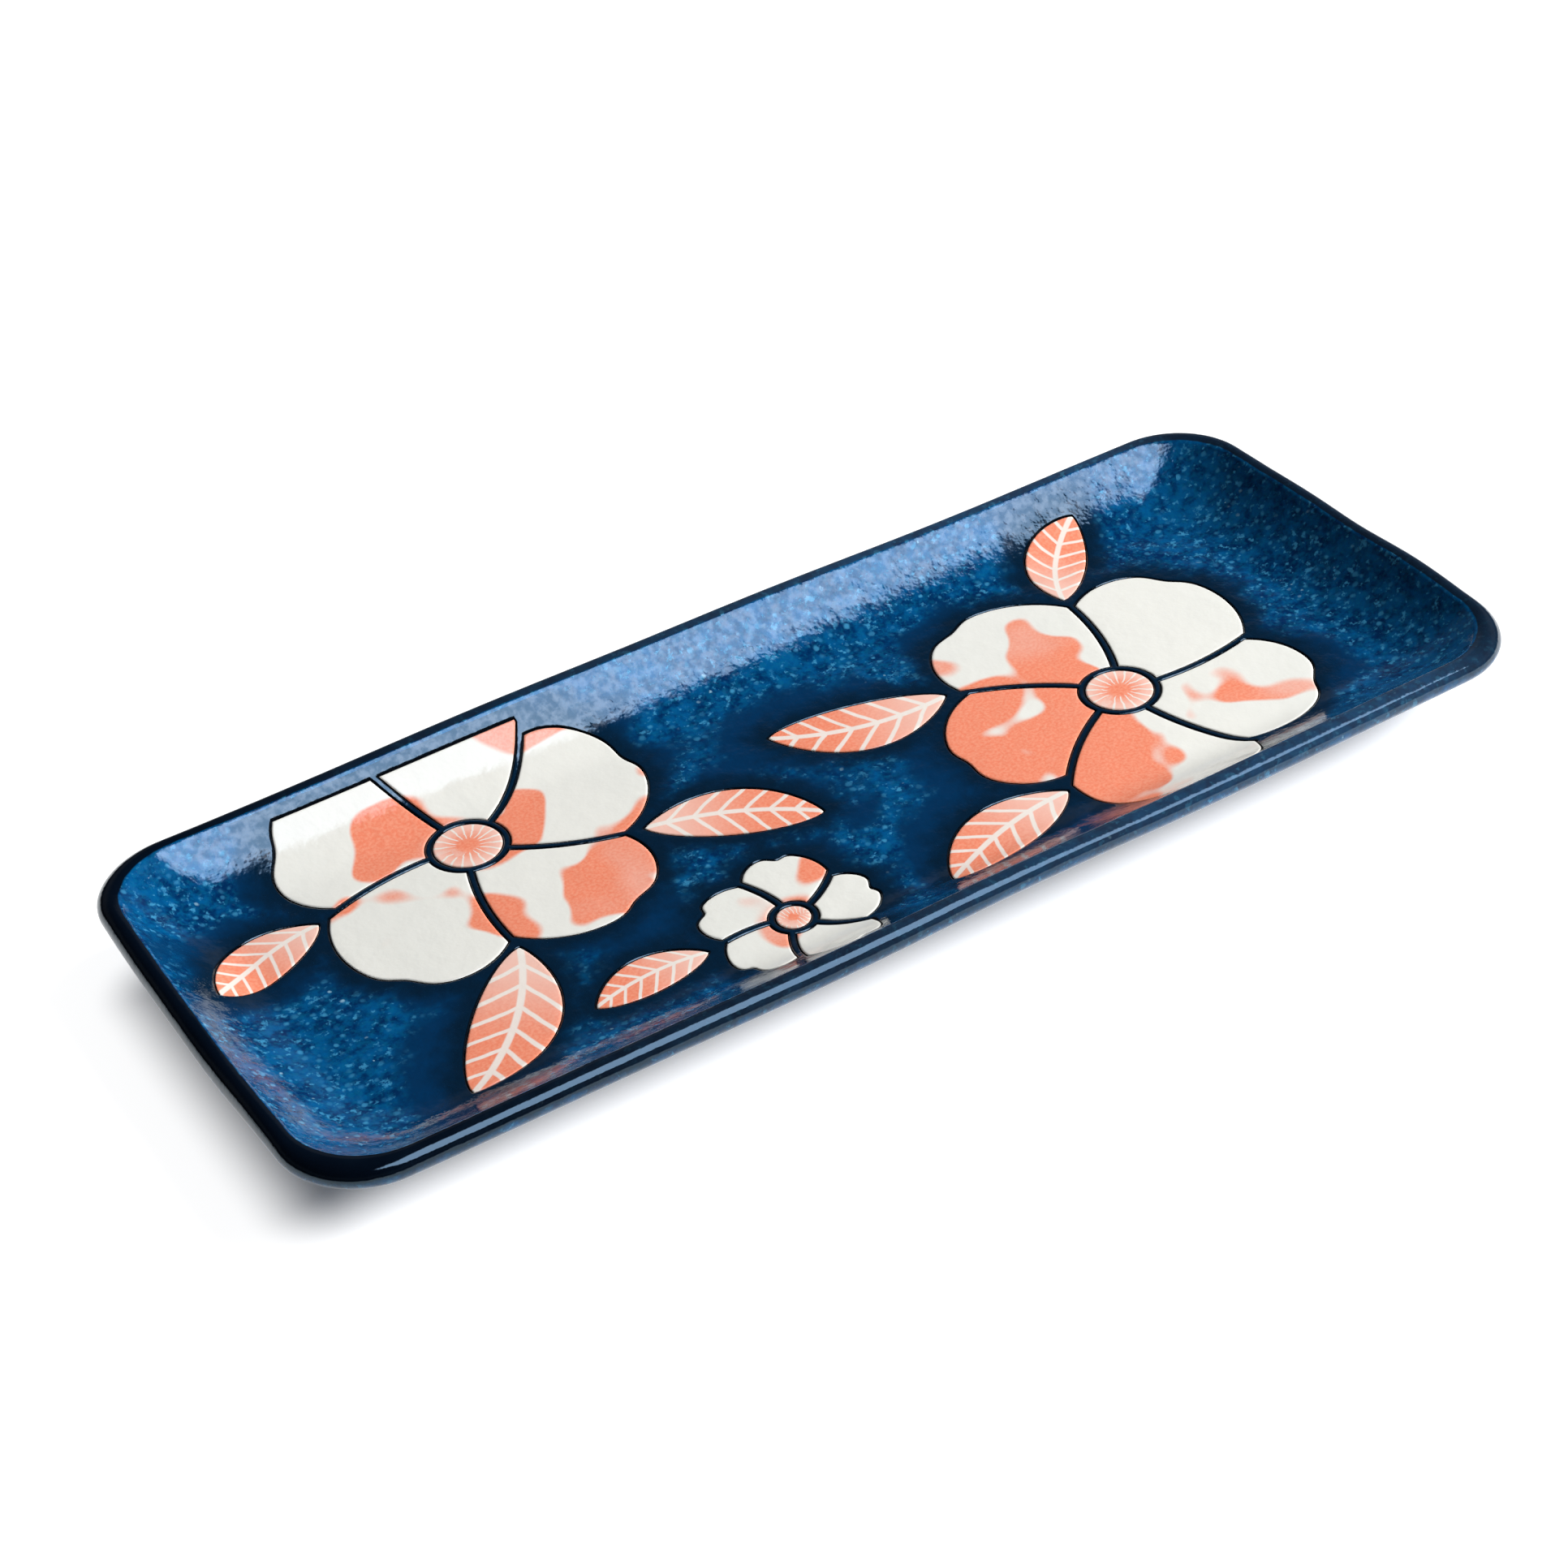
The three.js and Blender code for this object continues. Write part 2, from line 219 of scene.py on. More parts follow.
# %% Blossoms and leaves
PETALS = 5
LINE_WIDTH = 1.4 * MM
LOBE_REACH = 0.56
PETAL_TWIST = 0.35
PETAL_NOTCH = 1.6 * MM
NOTCH_SPREAD = 0.1
PETAL_WOBBLE = 0.05
WOBBLE_STEP = 2.4
LEAF_STANDOFF = 4.5 * MM
LEAF_FULLNESS = 0.8
BLOSSOMS = {
    "right": {
        "middle": Vector((74.5, -10)) * MM,
        "radius": 47 * MM,
        "heart": 8 * MM,
        "turn": 0.35,
    },
    "left": {
        "middle": Vector((-72.5, 31)) * MM,
        "radius": 46 * MM,
        "heart": 8 * MM,
        "turn": -0.17,
    },
    "small": {
        "middle": Vector((-28.5, -34)) * MM,
        "radius": 21 * MM,
        "heart": 4 * MM,
        "turn": 0.87,
    },
}
LEAVES = {  # blossom, dip it grows from, tilt, length, width, bend
    "right_inner": ("right", 1, 0.35, 43 * MM, 18 * MM, 4 * MM),
    "right_lower": ("right", 2, -0.35, 40 * MM, 17 * MM, -3 * MM),
    "right_outer": ("right", 0, -0.4, 31 * MM, 15 * MM, 3 * MM),
    "left_outer": ("left", 2, 0.3, 31 * MM, 15 * MM, -3 * MM),
    "left_lower": ("left", 3, -0.5, 46 * MM, 19 * MM, 4 * MM),
    "left_inner": ("left", 4, 0, 40 * MM, 17 * MM, 3 * MM),
    "small_outer": ("small", 1, 0.1, 28 * MM, 12 * MM, -2 * MM),
}
print("blossoms:", len(BLOSSOMS), "leaves:", len(LEAVES))

# %% [markdown]
# A petal's outline is four runs of points: its round end, a side, the arc beside the heart and
# the other side. It could be drawn as a curve by hand, but then the dark line between two petals
# would have to be kept even by eye. Worked out from the gap, it has the same width all along. The
# twist turns a point further the further out it lies, which gives the petals their swirl.

# %% Outlines of the blossoms
LOBE_STEPS = 56
SIDE_STEPS = 14
HEART_ARC_STEPS = 10
HEART_STEPS = 48


def on_blossom(blossom, angle, distance):
    """A point at an angle and distance from a blossom's middle, after the petals' twist."""
    twisted = angle + PETAL_TWIST * distance / blossom["radius"]
    return blossom["middle"] + distance * Vector((math.cos(twisted), math.sin(twisted)))


def lobe(radius, angle, gap):
    """Distance of a petal's round end from the middle, at an angle off the petal's axis."""
    reach = LOBE_REACH * radius
    chord = max((radius - reach - gap) ** 2 - (reach * math.sin(angle)) ** 2, 0)
    notch = PETAL_NOTCH * math.exp(-((angle / NOTCH_SPREAD) ** 2))
    return reach * math.cos(angle) + math.sqrt(chord) - notch


def lerp(start, end, share):
    """A value part of the way from one to another."""
    return start + (end - start) * share


def petal_outline(blossom, number, gap):
    """One petal: its round end, a side, the arc by the heart and the other side."""
    wobble = 1 + PETAL_WOBBLE * math.sin(WOBBLE_STEP * number + blossom["turn"])
    radius = blossom["radius"] * wobble
    axis = blossom["turn"] + 2 * math.pi * number / PETALS
    inner = blossom["heart"] + LINE_WIDTH + gap

    def side(distance):
        return math.pi / PETALS - (LINE_WIDTH / 2 + gap) / distance

    shoulder = lobe(radius, side(radius), gap)
    points = []
    for step in range(LOBE_STEPS + 1):
        angle = side(shoulder) * (2 * step / LOBE_STEPS - 1)
        points.append(on_blossom(blossom, axis + angle, lobe(radius, angle, gap)))
    for step in range(1, SIDE_STEPS):
        distance = lerp(shoulder, inner, step / SIDE_STEPS)
        points.append(on_blossom(blossom, axis + side(distance), distance))
    for step in range(HEART_ARC_STEPS + 1):
        angle = side(inner) * (1 - 2 * step / HEART_ARC_STEPS)
        points.append(on_blossom(blossom, axis + angle, inner))
    for step in range(SIDE_STEPS - 1, 0, -1):
        distance = lerp(shoulder, inner, step / SIDE_STEPS)
        points.append(on_blossom(blossom, axis - side(distance), distance))
    return points


def heart_outline(blossom, gap):
    """The round heart of a blossom."""
    angles = [2 * math.pi * step / HEART_STEPS for step in range(HEART_STEPS)]
    radius = blossom["heart"] - gap
    return [blossom["middle"] + radius * Vector((math.cos(a), math.sin(a))) for a in angles]


print("points on a petal:", len(petal_outline(BLOSSOMS["right"], 0, 0)))

# %% [markdown]
# A leaf grows from the dip between two petals. Its two sides swell from the base and meet again
# at the tip, and a bend pushes both to one side, so no leaf is a straight spindle.

# %% Outlines of the leaves
LEAF_STEPS = 30


def leaf_base(leaf):
    """Where a leaf starts, and the direction in which it grows."""
    place, dip, tilt = leaf[:3]
    blossom = BLOSSOMS[place]
    dip_angle = blossom["turn"] + 2 * math.pi * (dip + 0.5) / PETALS
    dip_distance = lobe(blossom["radius"], math.pi / PETALS, 0) + LEAF_STANDOFF
    base = on_blossom(blossom, dip_angle, dip_distance)
    away = base - blossom["middle"]
    return base, math.atan2(away.y, away.x) + tilt


def leaf_outline(leaf, gap):
    """A leaf: narrow at both ends, and bent along its length."""
    base, heading = leaf_base(leaf)
    length, width, bend = leaf[3:]
    along = Vector((math.cos(heading), math.sin(heading)))
    points = []
    for step in range(2 * LEAF_STEPS):
        u = -math.cos(math.pi * step / LEAF_STEPS)
        swell = max(1 - u * u, 0)
        side = -1 if step < LEAF_STEPS else 1
        across = bend * swell + side * (width / 2 - gap) * swell**LEAF_FULLNESS
        ahead = length / 2 + u * (length / 2 - gap)
        points.append(base + along * ahead + along.orthogonal() * across)
    return points


print("points on a leaf:", len(leaf_outline(LEAVES["right_inner"], 0)))

# %% [markdown]
# Where a figure runs past the plain border of the lip it is cropped. Each run of points beyond
# the border is laid out again, evenly spaced, along the border, so the number of points stays the
# same.

# %% Crop at the border
LIP_MARGIN = 7 * MM


def border(x, margin):
    """Distance of the border from the plate's long axis."""
    return (HALF_WIDTH - margin) * (1 + LONG_SIDE_BOW / HALF_WIDTH * (1 - (x / HALF_LENGTH) ** 2))


def cropped(points, margin):
    """The outline with every run of points past the border moved onto it."""
    beyond = [abs(p.y) - border(p.x, margin) for p in points]
    if max(beyond) <= 0:
        return points
    first = beyond.index(min(beyond))
    points = points[first:] + points[:first]
    beyond = beyond[first:] + beyond[:first]
    kept = list(points)
    count = len(points)
    step = 0
    while step < count:
        if beyond[step] <= 0:
            step += 1
            continue
        last = step
        while last + 1 < count and beyond[last + 1] > 0:
            last += 1
        enter = beyond[step - 1] / (beyond[step - 1] - beyond[step])
        start = points[step - 1].lerp(points[step], enter)
        after = (last + 1) % count
        leave = beyond[last] / (beyond[last] - beyond[after])
        end = points[last].lerp(points[after], leave)
        for place in range(step, last + 1):
            share = (place - step) / max(last - step, 1)
            x = lerp(start.x, end.x, share)
            kept[place] = Vector((x, math.copysign(border(x, margin), start.y)))
        step = last + 1
    shift = count - first
    return kept[shift:] + kept[:shift]


# %% [markdown]
# A table holds every figure under its own name, with the function that draws it. Windows, inlays
# and finishes all go through this one table, so none of them can be forgotten.

# %% Table of the figures
def figure_table():
    """Every figure's name with its outline as a function of the gap."""
    table = {}
    for place, blossom in BLOSSOMS.items():
        for number in range(PETALS):
            table[f"{place}_petal_{number + 1}"] = (petal_outline, blossom, number)
        table[f"{place}_heart"] = (heart_outline, blossom)
    for place, leaf in LEAVES.items():
        table[f"{place}_leaf"] = (leaf_outline, leaf)
    return table


FIGURES = figure_table()


def outline(name, gap):
    """A figure's cropped outline, drawn tighter by a gap or looser by a negative one."""
    draw, *details = FIGURES[name]
    return cropped(draw(*details, gap), LIP_MARGIN + gap)


print("figures:", len(FIGURES))

# %% [markdown]
# ## Growing a surface
# Two small helpers do most of the modelling. One starts a loop as a circle and moves its vertices
# to a list of places. The other extrudes a loop's edges and moves the new vertices to the next
# list. An integer layer numbers the vertices of a loop, and extruding copies it, so each one
# knows its place.

# %% Loops
def start_loop(bm, places):
    """A new closed loop through these places; gives its edges."""
    number = bm.verts.layers.int.get("number") or bm.verts.layers.int.new("number")
    loop = bmesh.ops.create_circle(bm, segments=len(places), radius=HALF_WIDTH)["verts"]
    for index, (vert, place) in enumerate(zip(loop, places)):
        vert.co = place.to_3d()
        vert[number] = index
    members = set(loop)
    return [edge for edge in bm.edges if edge.verts[0] in members and edge.verts[1] in members]


def grow_loop(bm, edges, places, **layers):
    """Extrudes a loop to the next places and writes these values on its new vertices."""
    number = bm.verts.layers.int["number"]
    grown = bmesh.ops.extrude_edge_only(bm, edges=edges)["geom"]
    verts = {item for item in grown if isinstance(item, bmesh.types.BMVert)}
    for vert in verts:
        vert.co = places[vert[number]].to_3d()
        for name, value in layers.items():
            vert[bm.verts.layers.float[name]] = value
    edges = [item for item in grown if isinstance(item, bmesh.types.BMEdge)]
    return [edge for edge in edges if edge.verts[0] in verts and edge.verts[1] in verts]


# %% [markdown]
# A figure's flat sheet has to be cut into small cells before it can follow the dish. The bisect
# tool slices it along lines in both directions: close together where the walls curve, wider on
# the floor.

# %% Grid of cuts
WALL_CELL = 1.3 * MM
FLOOR_CELL = 3 * MM
SNAP = 0.03 * MM


def cut_lines(half_size):
    """Distances from the middle at which a sheet is cut, finer past the start of the wall."""
    lines = []
    at = 0.5 * FLOOR_CELL
    while at < half_size:
        lines += [at, -at]
        at += WALL_CELL if at > half_size - FLOOR_INSET - FLOOR_CELL else FLOOR_CELL
    return lines


def cut_grid(bm, faces):
    """Slices these faces along the grid's lines."""
    geometry = set(faces)
    for face in faces:
        geometry.update(face.verts)
        geometry.update(face.edges)
    geometry = list(geometry)
    corners = [vert.co.copy() for face in faces for vert in face.verts]
    for axis, half_size in ((0, HALF_LENGTH), (1, HALF_WIDTH)):
        normal = Vector((1, 0, 0)) if axis == 0 else Vector((0, 1, 0))
        first = min(corner[axis] for corner in corners)
        last = max(corner[axis] for corner in corners)
        for at in cut_lines(half_size):
            if first < at < last:
                made = bmesh.ops.bisect_plane(
                    bm, geom=geometry, dist=SNAP, plane_co=normal * at, plane_no=normal
                )
                geometry = made["geom"]


print("cuts across the length:", len(cut_lines(HALF_LENGTH)))

# %% [markdown]
# A finished mesh becomes an object that rides on the plate's body and hides the node it stands
# for. A sheet of glaze gets its thickness last: once all its faces point up or out, solidify
# pushes a copy of them inwards. Modelling both sides by hand would take twice the work.

# %% Finish a piece
SMOOTH_UNDER = math.radians(38)
made_pieces = {}


def finish_piece(bm, name, node):
    """Turns the mesh into an object that rides on the plate and stands for its node."""
    mesh = bpy.data.meshes.new(name)
    bm.to_mesh(mesh)
    bm.free()
    mesh.shade_smooth()
    mesh.set_sharp_from_angle(angle=SMOOTH_UNDER)
    piece = bpy.data.objects.new(name, mesh)
    scene.collection.objects.link(piece)
    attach(piece, "root")
    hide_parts(node)
    made_pieces[name] = piece
    return piece


def triangles(piece):
    """How many triangles a piece's faces come to."""
    return sum(len(face.vertices) - 2 for face in piece.data.polygons)


def thicken(bm):
    """Gives an open sheet that faces up or out its thickness, inwards."""
    bmesh.ops.recalc_face_normals(bm, faces=bm.faces[:])
    top = max(bm.faces, key=lambda face: abs(face.normal.z) * face.calc_area())
    if top.normal.z < 0:
        bmesh.ops.reverse_faces(bm, faces=bm.faces[:])
    bmesh.ops.solidify(bm, geom=bm.faces[:], thickness=GLAZE_THICKNESS)


# %% [markdown]
# ## The blue coat
# On the real plate the blue glaze covers the inside, the lip and the outside down to a line short
# of the foot. Here it starts as a flat field with a hole for every figure: loops round each hole,
# which become its rounded edge, and one fill for all that lies between. The field is cut into
# cells, lifted onto the dish and grown over the lip. Filling first and lifting later keeps the
# windows exact.

# %% Flat field with its windows
FIELD_EDGE = 5 * MM
EDGE_BANDS = ((0, 0.22 * MM), (0.12 * MM, 0.09 * MM), (0.3 * MM, 0.02 * MM), (0.55 * MM, 0))
FAR_AWAY = 0.1

coat = bmesh.new()
for layer in ("sunk", "figure_distance", "lip"):
    coat.verts.layers.float.new(layer)
sunk = coat.verts.layers.float["sunk"]
field_edges = start_loop(coat, ring(FIELD_EDGE))
fill_edges = list(field_edges)
for name in FIGURES:
    edges = start_loop(coat, outline(name, 0))
    for edge in edges:
        for vert in edge.verts:
            vert[sunk] = EDGE_BANDS[0][1]
    for gap, depth in EDGE_BANDS[1:]:
        edges = grow_loop(coat, edges, outline(name, -gap), sunk=depth)
    fill_edges += edges
filled = bmesh.ops.triangle_fill(coat, use_beauty=True, edges=fill_edges, normal=(0, 0, 1))
field_faces = [item for item in filled["geom"] if isinstance(item, bmesh.types.BMFace)]
print("field faces before the grid:", len(field_faces))

# %% [markdown]
# The lip and the outside are grown from the field's edge, station by station: round the half
# circle of the lip, then down the outside of the wall and a little way under the floor. Each
# station carries a mask for the lip, where the glaze runs thin and fires darker.

# %% Lip and outside
LIP_STEPS = 18
OUTSIDE_STEPS = 10
GLAZE_LINE = FLOOR_INSET + 2 * MM
DARK_START = math.radians(42)
DARK_FULL = math.radians(22)
DARK_END = math.radians(-55)
OUTSIDE_START = math.radians(-90)
OUTSIDE_DARK = 0.45


def lip_stations():
    """Inset, height and lip mask from the inside of the lip over its crest to the underside."""
    stations = []
    for step in range(LIP_STEPS + 1):
        angle = RIM_SLOPE - math.pi * step / LIP_STEPS
        inset = LIP_RADIUS * (1 + math.sin(angle))
        inner = (DARK_START - angle) / (DARK_START - DARK_FULL)
        outer = (DARK_END - angle) / (DARK_END - OUTSIDE_START)
        mask = min(max(inner, 0), 1) - (1 - OUTSIDE_DARK) * min(max(outer, 0), 1)
        stations.append((inset, LIP_HEIGHT + LIP_RADIUS * math.cos(angle), mask))
    for step in range(OUTSIDE_STEPS - 1, -1, -1):
        climb = step / OUTSIDE_STEPS
        slope = math.atan(climb * math.tan(RIM_SLOPE))
        inset = FLOOR_INSET - climb * WALL_RUN - SLAB * math.sin(slope)
        height = FLOOR_TOP + WALL_RISE * climb**2 - SLAB * math.cos(slope)
        stations.append((inset, height, OUTSIDE_DARK))
    stations.append((GLAZE_LINE, UNDERSIDE, OUTSIDE_DARK))
    return stations


edges = field_edges
for inset, height, mask in lip_stations():
    edges = grow_loop(coat, edges, ring_at(inset, height), lip=mask, figure_distance=FAR_AWAY)
cut_grid(coat, field_faces)
print("coat faces:", len(coat.faces))

# %% [markdown]
# Now the flat field gets its heights. First each vertex notes its distance to the nearest figure,
# found with a tree of the outlines' points, because the glaze fires darker there. The lip was
# grown at its own height, so only the vertices that still lie at nought are lifted.

# %% Lift the field onto the dish
figure_points = [point for name in FIGURES for point in outline(name, 0)]
nearest = KDTree(len(figure_points))
for index, point in enumerate(figure_points):
    nearest.insert(point.to_3d(), index)
nearest.balance()

distance_layer = coat.verts.layers.float["figure_distance"]
for vert in coat.verts:
    if vert.co.z == 0:
        vert[distance_layer] = nearest.find(vert.co)[2]
        vert.co.z = dish_height(vert.co.x, vert.co.y) - vert[sunk]
thicken(coat)
blue_coat = finish_piece(coat, "blue_coat", "blue_glaze")
print("blue coat triangles:", triangles(blue_coat))

# %% [markdown]
# ## Petals, hearts and leaves
# Each inlay is its own piece of coloured glaze, as thick as the blue, with the same soft edge.
# Two float layers say where a point lies on its figure, along it and across it, so that a vein or
# a blush can follow the figure's own shape instead of the plate's axes.

# %% Where a point lies on its figure
FUSE_GAP = 0.3 * MM


def petal_place(point, blossom, number=None):
    """Share of the blossom's radius, and angle off the petal's axis in half widths of it."""
    away = point - blossom["middle"]
    distance = away.length
    turn = PETAL_TWIST * distance / blossom["radius"] + blossom["turn"]
    angle = math.atan2(away.y, away.x) - turn - 2 * math.pi * (number or 0) / PETALS
    angle = (angle + math.pi) % (2 * math.pi) - math.pi
    if number is None:
        return distance / blossom["heart"], angle / math.pi
    return distance / blossom["radius"], angle * PETALS / math.pi


def leaf_place(point, leaf):
    """Share of the leaf's length from its base, and of its half width off the middle vein."""
    base, heading = leaf_base(leaf)
    length, width, bend = leaf[3:]
    along = Vector((math.cos(heading), math.sin(heading)))
    share = (point - base).dot(along) / length
    swell = max(1 - (2 * share - 1) ** 2, 0)
    across = (point - base).dot(along.orthogonal()) - bend * swell
    return share, across / (width / 2)


PLACES = {petal_outline: petal_place, heart_outline: petal_place, leaf_outline: leaf_place}

# %% [markdown]
# An inlay repeats the coat's steps in small: a loop, bands for the soft edge, a fill, cuts and a
# lift. It could be cut out of the coat instead, but then its edge would be as sharp as the cut.
# Its outline is tighter than its window, which leaves the dark line round it.

# %% Make the inlays
def make_inlay(name):
    """One figure as a thin piece of glaze that follows the dish."""
    bm = bmesh.new()
    layers = {layer: bm.verts.layers.float.new(layer) for layer in ("sunk", "along", "across")}
    edges = start_loop(bm, outline(name, FUSE_GAP))
    for vert in bm.verts:
        vert[layers["sunk"]] = EDGE_BANDS[0][1]
    for gap, depth in EDGE_BANDS[1:]:
        edges = grow_loop(bm, edges, outline(name, FUSE_GAP + gap), sunk=depth)
    filled = bmesh.ops.triangle_fill(bm, use_beauty=True, edges=edges, normal=(0, 0, 1))
    cut_grid(bm, [item for item in filled["geom"] if isinstance(item, bmesh.types.BMFace)])
    draw, *details = FIGURES[name]
    for vert in bm.verts:
        x, y = vert.co.xy
        vert[layers["along"]], vert[layers["across"]] = PLACES[draw](vert.co.to_2d(), *details)
        vert.co.z = dish_height(x, y) - vert[layers["sunk"]]
    thicken(bm)
    return finish_piece(bm, f"{name}_inlay", name)


inlays = [make_inlay(name) for name in FIGURES]
print("inlays:", len(inlays), "triangles:", sum(triangles(piece) for piece in inlays))

# %% [markdown]
# ## Foot and base
# The plate stands on a ring of bare clay, trimmed with a tapered tool and sponged round at its
# edges. Its section is grown round the plate like the lip, and the last loop is bridged to the
# first. Inside the ring the floor's underside has a thin panel of the same blue glaze.

# %% Foot ring
FOOT_OUTSIDE = FLOOR_INSET + 4 * MM
FOOT_WIDTH = 6.5 * MM
FOOT_INSIDE = FOOT_OUTSIDE + FOOT_WIDTH
FOOT_TAPER = 0.8 * MM
FOOT_ROUND = 1.2 * MM
FOOT_ROUND_STEPS = 5
FOOT_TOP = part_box("foot_ring")[1].z


def foot_section():
    """The foot's section: down the outside, round its two lower edges and up the inside."""
    section = [(FOOT_OUTSIDE, FOOT_TOP)]
    outer = FOOT_OUTSIDE + FOOT_TAPER + FOOT_ROUND
    inner = FOOT_INSIDE - FOOT_TAPER - FOOT_ROUND
    for middle, start in ((outer, math.pi), (inner, 3 * math.pi / 2)):
        for step in range(FOOT_ROUND_STEPS + 1):
            angle = start + math.pi / 2 * step / FOOT_ROUND_STEPS
            inset = middle + FOOT_ROUND * math.cos(angle)
            section.append((inset, FOOT_ROUND * (1 + math.sin(angle))))
    section.append((FOOT_INSIDE, FOOT_TOP))
    return section


foot = bmesh.new()
section = [ring_at(*station) for station in foot_section()]
first_loop = start_loop(foot, section[0])
edges = first_loop
for places in section[1:]:
    edges = grow_loop(foot, edges, places)
bmesh.ops.bridge_loops(foot, edges=first_loop + edges)
bmesh.ops.recalc_face_normals(foot, faces=foot.faces[:])
foot_band = finish_piece(foot, "foot_band", "foot_ring")
print("foot triangles:", triangles(foot_band))

# %% [markdown]
# The base panel is a plain sheet with a softened lower edge. A bevel would round it too, but four
# loops, each a little wider or higher than the last, give the edge its section point by point.

# %% Base panel
PANEL_EDGE = FOOT_INSIDE + 2 * MM
PANEL_ROUND = ((0.5, 0), (0.15, 0.12), (0, 0.4), (0, 1))

base = bmesh.new()
for layer in ("figure_distance", "lip"):
    base.verts.layers.float.new(layer)
edges = None
for drawn_in, lift in PANEL_ROUND:
    places = ring_at(PANEL_EDGE + drawn_in * GLAZE_THICKNESS, UNDERSIDE + lift * GLAZE_THICKNESS)
    if edges is None:
        edges = start_loop(base, places)
        bmesh.ops.edgeloop_fill(base, edges=edges)
    else:
        edges = grow_loop(base, edges, places)
bmesh.ops.edgeloop_fill(base, edges=edges)
bmesh.ops.recalc_face_normals(base, faces=base.faces[:])
for vert in base.verts:
    vert[base.verts.layers.float["figure_distance"]] = FAR_AWAY
finish_piece(base, "base_panel", "base_glaze")
print("pieces:", sorted(made_pieces))

# %% [markdown]
# ## Node helpers
# Materials here are built from nodes in code, and a few helpers keep that short. The first adds a
# node and fills its sockets, each with a value or with another node's output, and the rest stand
# on it. One turns a colour as seen on a screen into the linear values that nodes use.

# %% Helpers for nodes
def add(tree, kind, inputs=None, **settings):
    """A new node of this kind, with its settings and its input sockets filled or linked."""
    node = tree.nodes.new(kind)
    for name, value in settings.items():
        setattr(node, name, value)
    for key, value in (inputs or {}).items():
        if isinstance(value, bpy.types.NodeSocket):
            tree.links.new(value, node.inputs[key])
        else:
            node.inputs[key].default_value = value
    return node


def colour(red, green, blue):
    """A screen colour of 0 to 255 a channel as linear values with alpha, by the sRGB curve."""
    shares = [channel / 255 for channel in (red, green, blue)]
    linear = [s / 12.92 if s <= 0.04045 else ((s + 0.055) / 1.055) ** 2.4 for s in shares]
    return (*linear, 1)


def math_node(tree, operation, *operands):
    """One step of arithmetic on values."""
    return add(tree, "ShaderNodeMath", dict(enumerate(operands)), operation=operation).outputs[0]


def vector_node(tree, operation, *operands):
    """One step of arithmetic on vectors."""
    node = add(tree, "ShaderNodeVectorMath", dict(enumerate(operands)), operation=operation)
    return node.outputs["Value" if operation == "LENGTH" else "Vector"]


def ramp(tree, value, low, high, to_low=0.0, to_high=1.0):
    """A value eased from one range to another, clamped at both ends."""
    limits = {"From Min": low, "From Max": high, "To Min": to_low, "To Max": to_high}
    inputs = {"Value": value, **limits}
    return add(tree, "ShaderNodeMapRange", inputs, interpolation_type="SMOOTHSTEP").outputs[0]


def mix(tree, share, first, second):
    """Two colours mixed by a share; the node's sockets for colours are its inputs 6 and 7."""
    node = add(tree, "ShaderNodeMix", {0: share, 6: first, 7: second}, data_type="RGBA")
    return node.outputs[2]


def share_of(tree, mask, share):
    """A mask weakened to a share of its strength."""
    return math_node(tree, "MULTIPLY", mask, share)


def noise(tree, vector, size, detail=2.0, roughness=0.5, distortion=0.0):
    """Noise whose features are about this size, in metres."""
    inputs = {
        "Vector": vector,
        "Scale": 1 / size,
        "Detail": detail,
        "Roughness": roughness,
        "Distortion": distortion,
    }
    return add(tree, "ShaderNodeTexNoise", inputs).outputs["Fac"]


# %% [markdown]
# A group is a box of nodes with named outputs that several materials can share. A material starts
# with its shader and the object's own coordinates, so a pattern stays with the piece. What is
# known about each vertex, such as its distance to a figure, comes in as an attribute.

# %% Groups and materials
def new_group(name, outputs):
    """A shader group that takes a vector and puts out these values."""
    group = bpy.data.node_groups.new(name, "ShaderNodeTree")
    group.interface.new_socket("Vector", in_out="INPUT", socket_type="NodeSocketVector")
    for output in outputs:
        group.interface.new_socket(output, in_out="OUTPUT", socket_type="NodeSocketFloat")
    source = add(group, "NodeGroupInput")
    sink = add(group, "NodeGroupOutput")
    return group, source.outputs["Vector"], sink


def put_out(group, sink, **values):
    """Links values to a group's outputs of the same names."""
    for name, value in values.items():
        group.links.new(value, sink.inputs[name])


def use_group(tree, group, vector):
    """Places a group in a tree and gives its outputs."""
    node = add(tree, "ShaderNodeGroup", node_tree=group)
    tree.links.new(vector, node.inputs["Vector"])
    return node.outputs


def new_material(name):
    """A material with its shader and the object's own coordinates."""
    material = bpy.data.materials.new(name)
    material.use_nodes = True
    tree = material.node_tree
    shader = tree.nodes["Principled BSDF"]
    vector = add(tree, "ShaderNodeTexCoord").outputs["Object"]
    return material, tree, shader, vector


def attribute(tree, name):
    """A value that a piece carries on its vertices."""
    return add(tree, "ShaderNodeAttribute", attribute_name=name).outputs["Fac"]


# %% [markdown]
# ## What all the glazes share
# A fired glaze is never a perfect mirror. Its skin has shallow dimples a few millimetres across
# and a finer grain where bubbles broke, both so low that only reflections show them. They are one
# group, so that the blue and the figures have the same skin and a reflection runs on from one to
# the other.

# %% Glaze skin
DIMPLE = 6 * MM
GRAIN = 1.4 * MM
GRAIN_SHARE = 0.34
GLOSS_CLOUD = 9 * MM

skin_group, skin_vector, skin_out = new_group("glaze_skin", ("Height", "Gloss"))
dimples = noise(skin_group, skin_vector, DIMPLE, detail=1)
grain = noise(skin_group, skin_vector, GRAIN, detail=1.5)
skin_height = math_node(skin_group, "ADD", dimples, share_of(skin_group, grain, GRAIN_SHARE))
skin_gloss = noise(skin_group, skin_vector, GLOSS_CLOUD, detail=4)
put_out(skin_group, skin_out, Height=skin_height, Gloss=skin_gloss)
print("skin nodes:", len(skin_group.nodes))

